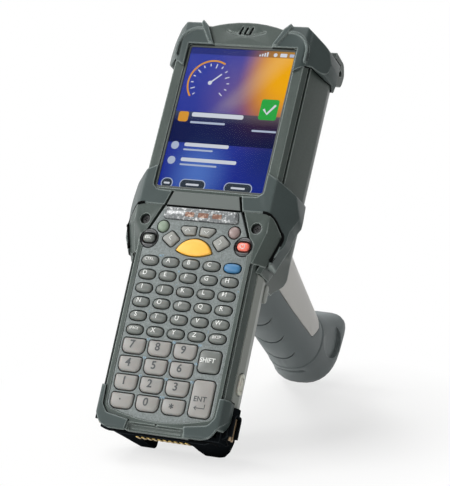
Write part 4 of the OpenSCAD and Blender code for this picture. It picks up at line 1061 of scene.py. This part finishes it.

# ---- the seams, where dark cords paint shade ----
# Node, the node it meets, width of the seam and widest gap between them, in millimetres
SEAMS = [
    ("nose_cap", "display_bezel", 0.7, 0.06), ("head_housing", "display_bezel", 0.7, 0.06),
    ("keypad_bezel", "lower_housing", 0.8, 0.06), ("keypad_bezel", "display_bezel", 1.0, 0.45),
    ("connector_base", "lower_housing", 0.7, 0.06), ("name_bar", "display_bezel", 0.7, 0.06),
    ("handle_shell", "handle_grip", 0.8, 0.06), ("handle_foot", "handle_grip", 0.9, 0.06),
]
for side in ("left", "right"):
    SEAMS += [
        ("shoulder_bumper_" + side, "keypad_bezel", 1.5, 0.8),
        ("shoulder_bumper_" + side, "display_bezel", 0.7, 0.06),
        ("shoulder_bumper_" + side, "head_housing", 0.9, 0.06),
        ("shoulder_bumper_" + side, "lower_housing", 0.9, 0.3),
    ]
    for bumper, gap, others in (
            ("top_bumper_", 0.5, ("display_bezel", "head_housing", "nose_cap")),
            ("bottom_bumper_", 0.06, ("keypad_bezel", "lower_housing", "connector_base"))):
        SEAMS += [(bumper + side, other, 0.9, gap) for other in others]


# ---- operators ----
class TERMINAL_OT_shells(Operator):
    """Rounds and finishes the hard mouldings of the head and keypad half"""

    bl_idname = "terminal.shells"
    bl_label = "Hard mouldings"

    def execute(self, context):
        edge = context.scene.terminal_forms.edge
        for node in ("display_bezel", "head_housing", "nose_cap"):
            skin(node, "case_dark", edge)
        skin("name_bar", "name_plate", 0.2)
        skin("keypad_bezel", "keypad_plastic", edge * 0.8)
        self.darken_tail(skin("lower_housing", "side_plastic", edge))
        skin("connector_base", "base_black", edge)
        return {"FINISHED"}

    def darken_tail(self, walls):
        """Gives the side walls' strip between the bumpers and the base the base's colour."""
        bm = bmesh.new()
        bm.from_mesh(walls.data)
        bmesh.ops.bisect_plane(
            bm, geom=bm.verts[:] + bm.edges[:] + bm.faces[:], dist=0.000001,
            plane_co=DEVICE @ Vector((0, DARK_TAIL, 0)),
            plane_no=DEVICE.to_3x3() @ Vector((0, 1, 0))
        )
        home = DEVICE.inverted()
        for face in bm.faces:
            if (home @ face.calc_center_median()).y < DARK_TAIL:
                face.material_index = 1
        bm.to_mesh(walls.data)
        bm.free()
        walls.data.materials.append(finish("base_black"))


class TERMINAL_OT_seams(Operator):
    """Lays dark cords into the seams between the mouldings as painted shade"""

    bl_idname = "terminal.seams"
    bl_label = "Seams"

    def execute(self, context):
        share = context.scene.terminal_forms.seam
        for node, other, width, gap in SEAMS:
            bm = bmesh.new()
            seam(bm, node, other, share * width / 2000, gap / 1000)
            if bm.faces:
                name = "seam_%s_%s" % (node, other)
                piece(name, bm, body_of(node), "seam_black")
            else:
                bm.free()
        return {"FINISHED"}


class TERMINAL_OT_rubber(Operator):
    """Softens and finishes the rubber bumpers and the display gasket"""

    bl_idname = "terminal.rubber"
    bl_label = "Rubber bumpers"

    def execute(self, context):
        for side in ("left", "right"):
            for kind in ("top_bumper_", "shoulder_bumper_", "bottom_bumper_"):
                skin(kind + side, "bumper_rubber", context.scene.terminal_forms.soft_edge)
        skin("display_gasket", "gasket_rubber", 0.3)
        return {"FINISHED"}


class TERMINAL_OT_screen(Operator):
    """Builds the lit display module, its picture and the touch panel"""

    bl_idname = "terminal.screen"
    bl_label = "Display"

    def execute(self, context):
        mid_y, tall = (WINDOW_Y0 + WINDOW_Y1) / 2, WINDOW_Y1 - WINDOW_Y0
        bm = bmesh.new()
        prism(bm, slab(0, mid_y, 2 * WINDOW_R - 0.4, tall - 0.4, 1),
              LCD_TOP - LCD_T + 0.3, LCD_TOP, DEVICE)
        piece("lcd_panel", bm, "root", "lcd_face", ("lcd_module",))
        skin("touch_panel", "touch_glass", 0.15)
        inks = ("lit_white", "lit_pale", "lit_green", "lit_amber", "lit_dark")
        self.marks = {ink: bmesh.new() for ink in inks}
        self.signs()
        self.gauge(-14.5, WINDOW_Y1 - 19.5, 10.5)
        self.parcel(20.5, WINDOW_Y1 - 32)
        self.rows()
        self.buttons()
        for ink, mesh in self.marks.items():
            piece("screen_" + ink, mesh, "root", ink)
        return {"FINISHED"}

    def block(self, ink, x, y, w, l, r, lift=0.0):
        """A round-cornered patch of ink; lift puts it over another one."""
        z = LCD_TOP + lift
        prism(self.marks[ink], slab(x, y, w, l, r), z, z + INK_T, DEVICE)

    def line(self, ink, points, width):
        strokes(self.marks[ink], points, width, DEVICE, INK_T, lambda x, y: LCD_TOP)

    def signs(self):
        """Status signs along the top edge."""
        top = WINDOW_Y1 - 2.6
        for i in range(4):
            self.block("lit_white", 9 + i * 1.3, top - 0.6 + i * 0.25, 0.8, 1.0 + i * 0.5, 0.1)
        self.block("lit_white", 17.2, top, 2.0, 2.0, 0.99)
        self.block("lit_white", 21.6, top, 3.6, 1.9, 0.4)
        self.block("lit_pale", 26.0, top, 2.4, 1.6, 0.3)

    def gauge(self, x, y, r):
        """A round gauge with its marks and needle."""
        for a in range(-40, 221, 20):
            c, s = math.cos(math.radians(a)), math.sin(math.radians(a))
            inner = r - (2.4 if a % 60 == 20 else 1.4)
            self.line("lit_white", [(x + c * r, y + s * r), (x + c * inner, y + s * inner)], 0.5)
        self.line("lit_amber", arc(x, y, r + 1.5, 60, 220, 24), 0.9)
        self.line("lit_white", [(x, y), (x + 5.4, y + 5.0)], 0.7)
        self.block("lit_white", x, y, 2.2, 2.2, 1.09)

    def parcel(self, x, y):
        """A parcel with a tick."""
        self.block("lit_green", x, y, 9.5, 11, 1.2)
        tick = [(x - 2.8, y + 0.2), (x - 0.7, y - 2.4), (x + 3.2, y + 2.6)]
        self.line("lit_white", tick, 1.1)

    def rows(self):
        """The chosen row in the dark band, and two more below it."""
        self.block("lit_amber", -24.4, WINDOW_Y1 - 38.4, 5.4, 5.4, 1.2)
        self.block("lit_white", -6, WINDOW_Y1 - 37, 28, 2.3, 0.9)
        self.block("lit_pale", -10.5, WINDOW_Y1 - 41.2, 19, 1.1, 0.5)
        self.block("lit_pale", 20.5, WINDOW_Y1 - 43.6, 13, 1.0, 0.4)
        for y, w in ((WINDOW_Y1 - 54, 24), (WINDOW_Y1 - 62, 30)):
            self.block("lit_pale", -25, y, 4.2, 4.2, 2.05)
            self.block("lit_white", w / 2 - 20, y + 0.8, w, 1.9, 0.8)
            self.block("lit_pale", w / 3 - 20, y - 1.9, w / 1.5, 0.9, 0.4)

    def buttons(self):
        """Three rimmed buttons along the bottom."""
        y = WINDOW_Y0 + 3.6
        for x, w in ((-24.4, 6.4), (-10.5, 14), (14, 15)):
            self.block("lit_pale", x, y, w, 5.6, 2.7)
            self.block("lit_dark", x, y, w - 0.9, 4.7, 2.3, 0.03)
            self.block("lit_white", x, y, w * 0.5, 1.0, 0.4, 0.06)


class TERMINAL_OT_keys(Operator):
    """Builds the domed keys in their places and finishes the plate and mat"""

    bl_idname = "terminal.keys"
    bl_label = "Keys"

    def execute(self, context):
        forms = context.scene.terminal_forms
        holes = [inset(ccw(cleaned(outline)), -KEY_CLEAR)
                 for node, (_, outlines) in KEYS.items() if node not in BOSS_KEYS
                 for outline in outlines]
        rim = plate_outline()
        for s in (-1, 1):
            rim = without_disc(rim, s * BOSS_X, BOSS_Y, BOSS_R + 0.1)
        bm = bmesh.new()
        pierced(bm, [rim, lens_outline(0.05)] + holes, -PLATE_T, 0, 0.3)
        piece("key_plate", bm, "root", "keypad_plate", ("keypad_plate",), 35)
        bm = bmesh.new()
        for s in (-1, 1):
            hole = inset(ccw(cleaned(boss_key_outline(s))), -KEY_CLEAR)
            pierced(bm, [arc(s * BOSS_X, BOSS_Y, BOSS_R, 0, 354, 59), hole], -PLATE_T, 0.35, 0.9)
        piece("key_bosses", bm, "root", "boss_plastic", (), 35)
        dress("mat_rubber", "key_mat")
        for node, (material, outlines) in KEYS.items():
            bm = bmesh.new()
            for outline in outlines:
                pillow(bm, outline, forms.key_round, forms.key_dome)
            piece(node + "_cap", bm, body_of(node), material, (node,), 50)
        return {"FINISHED"}


class TERMINAL_OT_legends(Operator):
    """Prints the letters, numbers and signs on the keys and plate"""

    bl_idname = "terminal.legends"
    bl_label = "Key legends"

    def execute(self, context):
        self.forms = context.scene.terminal_forms
        for row, words in enumerate(LETTERS):
            node = "letter_keys_%d" % (row + 1)
            self.put(node.replace("keys", "legends"), node, "print_white", [
                (word, x - (0.8 if len(word) == 1 else 0.2), y + 0.5, LETTER_SIZES[len(word)], 0.02)
                for word, (x, y) in self.places(words, letter_at, row)], KEYS[node][1])
        for row, words in enumerate(DIGITS):
            node = "digit_keys_%d" % (row + 1)
            self.put(node.replace("keys", "legends"), node, "print_dark", [
                (word, x - 0.6, y + 0.5 + DIGIT_DROPS.get(word, 0), 5.6, 0.1)
                for word, (x, y) in self.places(words, digit_at, row)], KEYS[node][1])
        x, y = SHIFT_C
        self.on_key("shift", "print_white", ("SHIFT", x - 0.8, y + 0.4, 3.2, 0.05))
        x, y = ENTER_C
        self.on_key(
            "enter", "print_dark", ("ENT", x - 0.4, y - 0.4, 3.6, 0.04),
            ([(x + 2.6, y - 2.6), (x + 2.6, y - 4.6), (x - 2.4, y - 4.6)], SIGN_LINE),
            ([(x - 1.5, y - 3.7), (x - 2.8, y - 4.6), (x - 1.5, y - 5.5)], SIGN_LINE))
        self.on_key("esc", "print_white", ("ESC", -BOSS_X, BOSS_Y + 0.2, 2.1, 0.05))
        self.on_key(
            "power", "print_white", (arc(BOSS_X, BOSS_Y, 1.15, 125, 415, 24), POWER_LINE),
            ([(BOSS_X, BOSS_Y + 0.2), (BOSS_X, BOSS_Y + 1.4)], POWER_LINE))
        for node, (x, y, turn) in ARROWS.items():
            c, s = math.cos(math.radians(turn)), math.sin(math.radians(turn))
            arrow = [(x + c * px - s * py, y + s * px + c * py)
                     for px, py in ((-0.6, 1.2), (0.6, 0), (-0.6, -1.2))]
            self.on_key(node.replace("_key", ""), "print_white", (arrow, SIGN_LINE))
        signs = []
        for col, row, word in PLATE_DIGITS:
            x, y = digit_at(col, row)
            signs.append((word, x + DIGIT_STEP / 2 + 0.1, y + DIGIT_L / 2 + 0.2, 1.7, 0.02))
        for col, row, word in PLATE_LETTERS:
            x, y = letter_at(col, row)
            signs.append((word, x + LETTER_STEP / 2, y + LETTER_L / 2 + 0.6, 1.5, 0.02))
        self.put("plate_legends", "keypad_plate", "print_blue", signs, [None] * len(signs))
        return {"FINISHED"}

    def places(self, words, place, row):
        return [(word, place(col, row)) for col, word in enumerate(words)]

    def on_key(self, key, ink, *marks):
        """Prints marks on a key that has a node to itself."""
        node = key + "_key"
        self.put(key + "_legend", node, ink, marks, KEYS[node][1] * len(marks))

    def put(self, name, node, ink, marks, outlines):
        """Prints words (text, x, y, size, weight) and lines (points, width), each on a key."""
        bm = bmesh.new()
        tall = self.forms.legend
        for mark, outline in zip(marks, outlines):
            top = key_top(outline, self.forms.key_dome)
            if isinstance(mark[0], str):
                lettering(bm, *mark, tall, top)
            else:
                strokes(bm, *mark, KEYPAD, tall, top)
        piece(name, bm, body_of(node), ink, (), 60)


class TERMINAL_OT_lens(Operator):
    """Builds the indicator lens and its amber windows"""

    bl_idname = "terminal.lens"
    bl_label = "Indicator lens"

    def execute(self, context):
        skin("led_lens", "lens_plastic", 0.35)
        bm = bmesh.new()
        for x, w in ((-6.0, 5.0), (1.2, 5.6), (8.6, 5.0)):
            prism(bm, slab(x, KINK_Y + 1.5, w, 2.4, 0.6), 0.86, 0.93, KEYPAD, 0.02)
        piece("indicator_windows", bm, "root", "lens_amber")
        return {"FINISHED"}


class TERMINAL_OT_tail(Operator):
    """Finishes the contacts, screws and release buttons"""

    bl_idname = "terminal.tail"
    bl_label = "Contacts, screws and releases"

    def execute(self, context):
        skin("contact_pins", "contact_gold", 0.15)
        skin("side_contacts", "contact_bronze", 0.15)
        skin("release_left", "release_ivory", 0.4)
        skin("release_right", "release_ivory", 0.4)
        skin("battery_pack", "battery_black", 0.6)
        dress("screw_black", "case_screws")
        return {"FINISHED"}


class TERMINAL_OT_handle(Operator):
    """Finishes the handle, its rubber, foot and trigger"""

    bl_idname = "terminal.handle"
    bl_label = "Handle and trigger"

    def execute(self, context):
        skin("handle_shell", "handle_grey", 0.35, HANDLE_ANGLE)
        skin("handle_grip", "grip_rubber", 0.35, HANDLE_ANGLE)
        skin("handle_foot", "foot_plastic", 0.8, HANDLE_ANGLE)
        skin("trigger", "trigger_plastic", 0.6)
        dress("pin_steel", "trigger_pin", "trigger_spring")
        dress("inner_black", "trigger_switch")
        return {"FINISHED"}


class TERMINAL_OT_inside(Operator):
    """Finishes the parts inside the housing"""

    bl_idname = "terminal.inside"
    bl_label = "Inner parts"

    def execute(self, context):
        dress("board_green", "main_board")
        dress("inner_black", "speaker", "microphone")
        dress("engine_metal", "scan_engine")
        skin("scan_window", "scan_glass", 0.2)
        return {"FINISHED"}


CAMERA_AT = Vector((0.416632, -0.916806, 0.286981))
CAMERA_AXES = ((0.905835, 0.423588, 0.005970), (-0.086503, 0.171154, 0.981439),
               (0.414705, -0.889539, 0.191679))
CAMERA_LENS = 149.915
# Place and width of each lamp; all of them face one point
LAMPS = {
    "key_lamp": ((-0.95, -0.75, 0.7), 0.4), "top_lamp": ((-0.35, -0.15, 1.2), 0.8),
    "fill_lamp": ((0.95, -0.35, 0.45), 0.8), "rim_lamp": ((-0.8, 0.45, 0.75), 0.3),
    "low_lamp": ((-0.45, -1.1, 0.12), 0.5),
}
LAMP_AIM = Vector((0, 0, 0.09))
FLOOR_REACH, FLOOR_LOW, FLOOR_TOP = 3.0, -0.02, -0.0002


class TERMINAL_OT_stage(Operator):
    """Sets the floor, the soft lamps and the camera"""

    bl_idname = "terminal.stage"
    bl_label = "Stage"

    def execute(self, context):
        scene, studio = context.scene, context.scene.terminal_studio
        self.floor(studio.floor)
        self.sky(scene, studio.sky)
        for name, (at, size) in LAMPS.items():
            light = bpy.data.lights.new(name, "AREA")
            light.size, light.energy = size, getattr(studio, name)
            lamp = shown(name, light)
            lamp.location = at
            lamp.rotation_euler = (LAMP_AIM - Vector(at)).to_track_quat("-Z", "Y").to_euler()
        camera = shown("camera", bpy.data.cameras.new("camera"))
        camera.data.lens = CAMERA_LENS
        camera.data.sensor_width = 36
        camera.data.clip_start, camera.data.clip_end = 0.05, 20
        turn = Matrix(CAMERA_AXES).transposed().to_4x4()
        camera.matrix_world = Matrix.Translation(CAMERA_AT) @ turn
        scene.camera = camera
        scene.view_settings.view_transform = "Standard"
        return {"FINISHED"}

    def floor(self, paint):
        """A pale floor that keeps the shadow near the terminal and turns white further out."""
        bm = bmesh.new()
        square = ((-1, -1), (1, -1), (1, 1), (-1, 1))
        loft(bm, [[(x * FLOOR_REACH, y * FLOOR_REACH, z) for x, y in square]
                  for z in (FLOOR_LOW, FLOOR_TOP)])
        mesh = bpy.data.meshes.new("floor")
        bm.to_mesh(mesh)
        bm.free()
        shown("floor", mesh)
        made, tree, shader = blank_material("floor_paper")
        grain = add(tree, "TexNoise", {"Scale": 40.0, "Detail": 2.0}).outputs["Fac"]
        paper = mix(tree, ramp(tree, grain, *NOISE_SPAN, 0.0, 0.05), rgba(paint),
                    rgba(lighter(paint, -0.1)))
        feed(tree, shader, {"Base Color": paper, "Roughness": 0.9})
        glow = add(tree, "Emission", {"Color": WHITE, "Strength": 1.0})
        away = add(tree, "VectorMath", {0: own_place(tree)}, operation="LENGTH")
        white = ramp(tree, away.outputs["Value"], 0.06, 0.145, 0.64, 1.0)
        blend = add(tree, "MixShader", {
            0: times(tree, self.seen(tree), white), 1: shader.outputs[0], 2: glow.outputs[0]
        })
        feed(tree, tree.nodes["Material Output"], {"Surface": blend.outputs[0]})
        mesh.materials.append(made)

    def sky(self, scene, strength):
        """Weak light from all round, and white where it is seen."""
        scene.world = bpy.data.worlds.new("studio")
        scene.world.use_nodes = True
        tree = scene.world.node_tree
        tree.nodes.clear()
        soft, white = (add(tree, "Background", {
            "Color": WHITE, "Strength": power}).outputs[0] for power in (strength, 1.0))
        blend = add(tree, "MixShader", {0: self.seen(tree), 1: soft, 2: white})
        add(tree, "OutputWorld", {"Surface": blend.outputs[0]})

    def seen(self, tree):
        """1 for a ray from the camera, off gloss or through glass."""
        path = add(tree, "LightPath").outputs
        mirrored = math_node(tree, "MAXIMUM", path["Is Glossy Ray"], path["Is Transmission Ray"])
        return math_node(tree, "MAXIMUM", path["Is Camera Ray"], mirrored)


STEPS = (
    TERMINAL_OT_stage, TERMINAL_OT_shells, TERMINAL_OT_seams, TERMINAL_OT_rubber,
    TERMINAL_OT_screen, TERMINAL_OT_keys, TERMINAL_OT_legends, TERMINAL_OT_lens,
    TERMINAL_OT_tail, TERMINAL_OT_handle, TERMINAL_OT_inside,
)


class TERMINAL_PT_panel(Panel):
    """Lists the steps that finish the terminal"""

    bl_label = "Data Terminal"
    bl_idname = "TERMINAL_PT_panel"
    bl_space_type = "VIEW_3D"
    bl_region_type = "UI"
    bl_category = "Terminal"

    def draw(self, context):
        for scene_name in GROUPS:
            group = getattr(context.scene, scene_name)
            box = self.layout.box()
            for name in group.bl_rna.properties.keys():
                if name not in ("rna_type", "name"):
                    box.prop(group, name)
        for step in STEPS:
            self.layout.operator(step.bl_idname)


GROUPS = {
    "terminal_colours": TerminalColours, "terminal_forms": TerminalForms,
    "terminal_studio": TerminalStudio,
}


def register():
    for kind in (*GROUPS.values(), *STEPS, TERMINAL_PT_panel):
        bpy.utils.register_class(kind)
    for name, kind in GROUPS.items():
        setattr(bpy.types.Scene, name, PointerProperty(type=kind))


def unregister():
    for name in GROUPS:
        delattr(bpy.types.Scene, name)
    for kind in reversed((*GROUPS.values(), *STEPS, TERMINAL_PT_panel)):
        bpy.utils.unregister_class(kind)


def main():
    register()
    for step in STEPS:
        family, name = step.bl_idname.split(".")
        getattr(getattr(bpy.ops, family), name)()


if __name__ == "__main__":
    main()
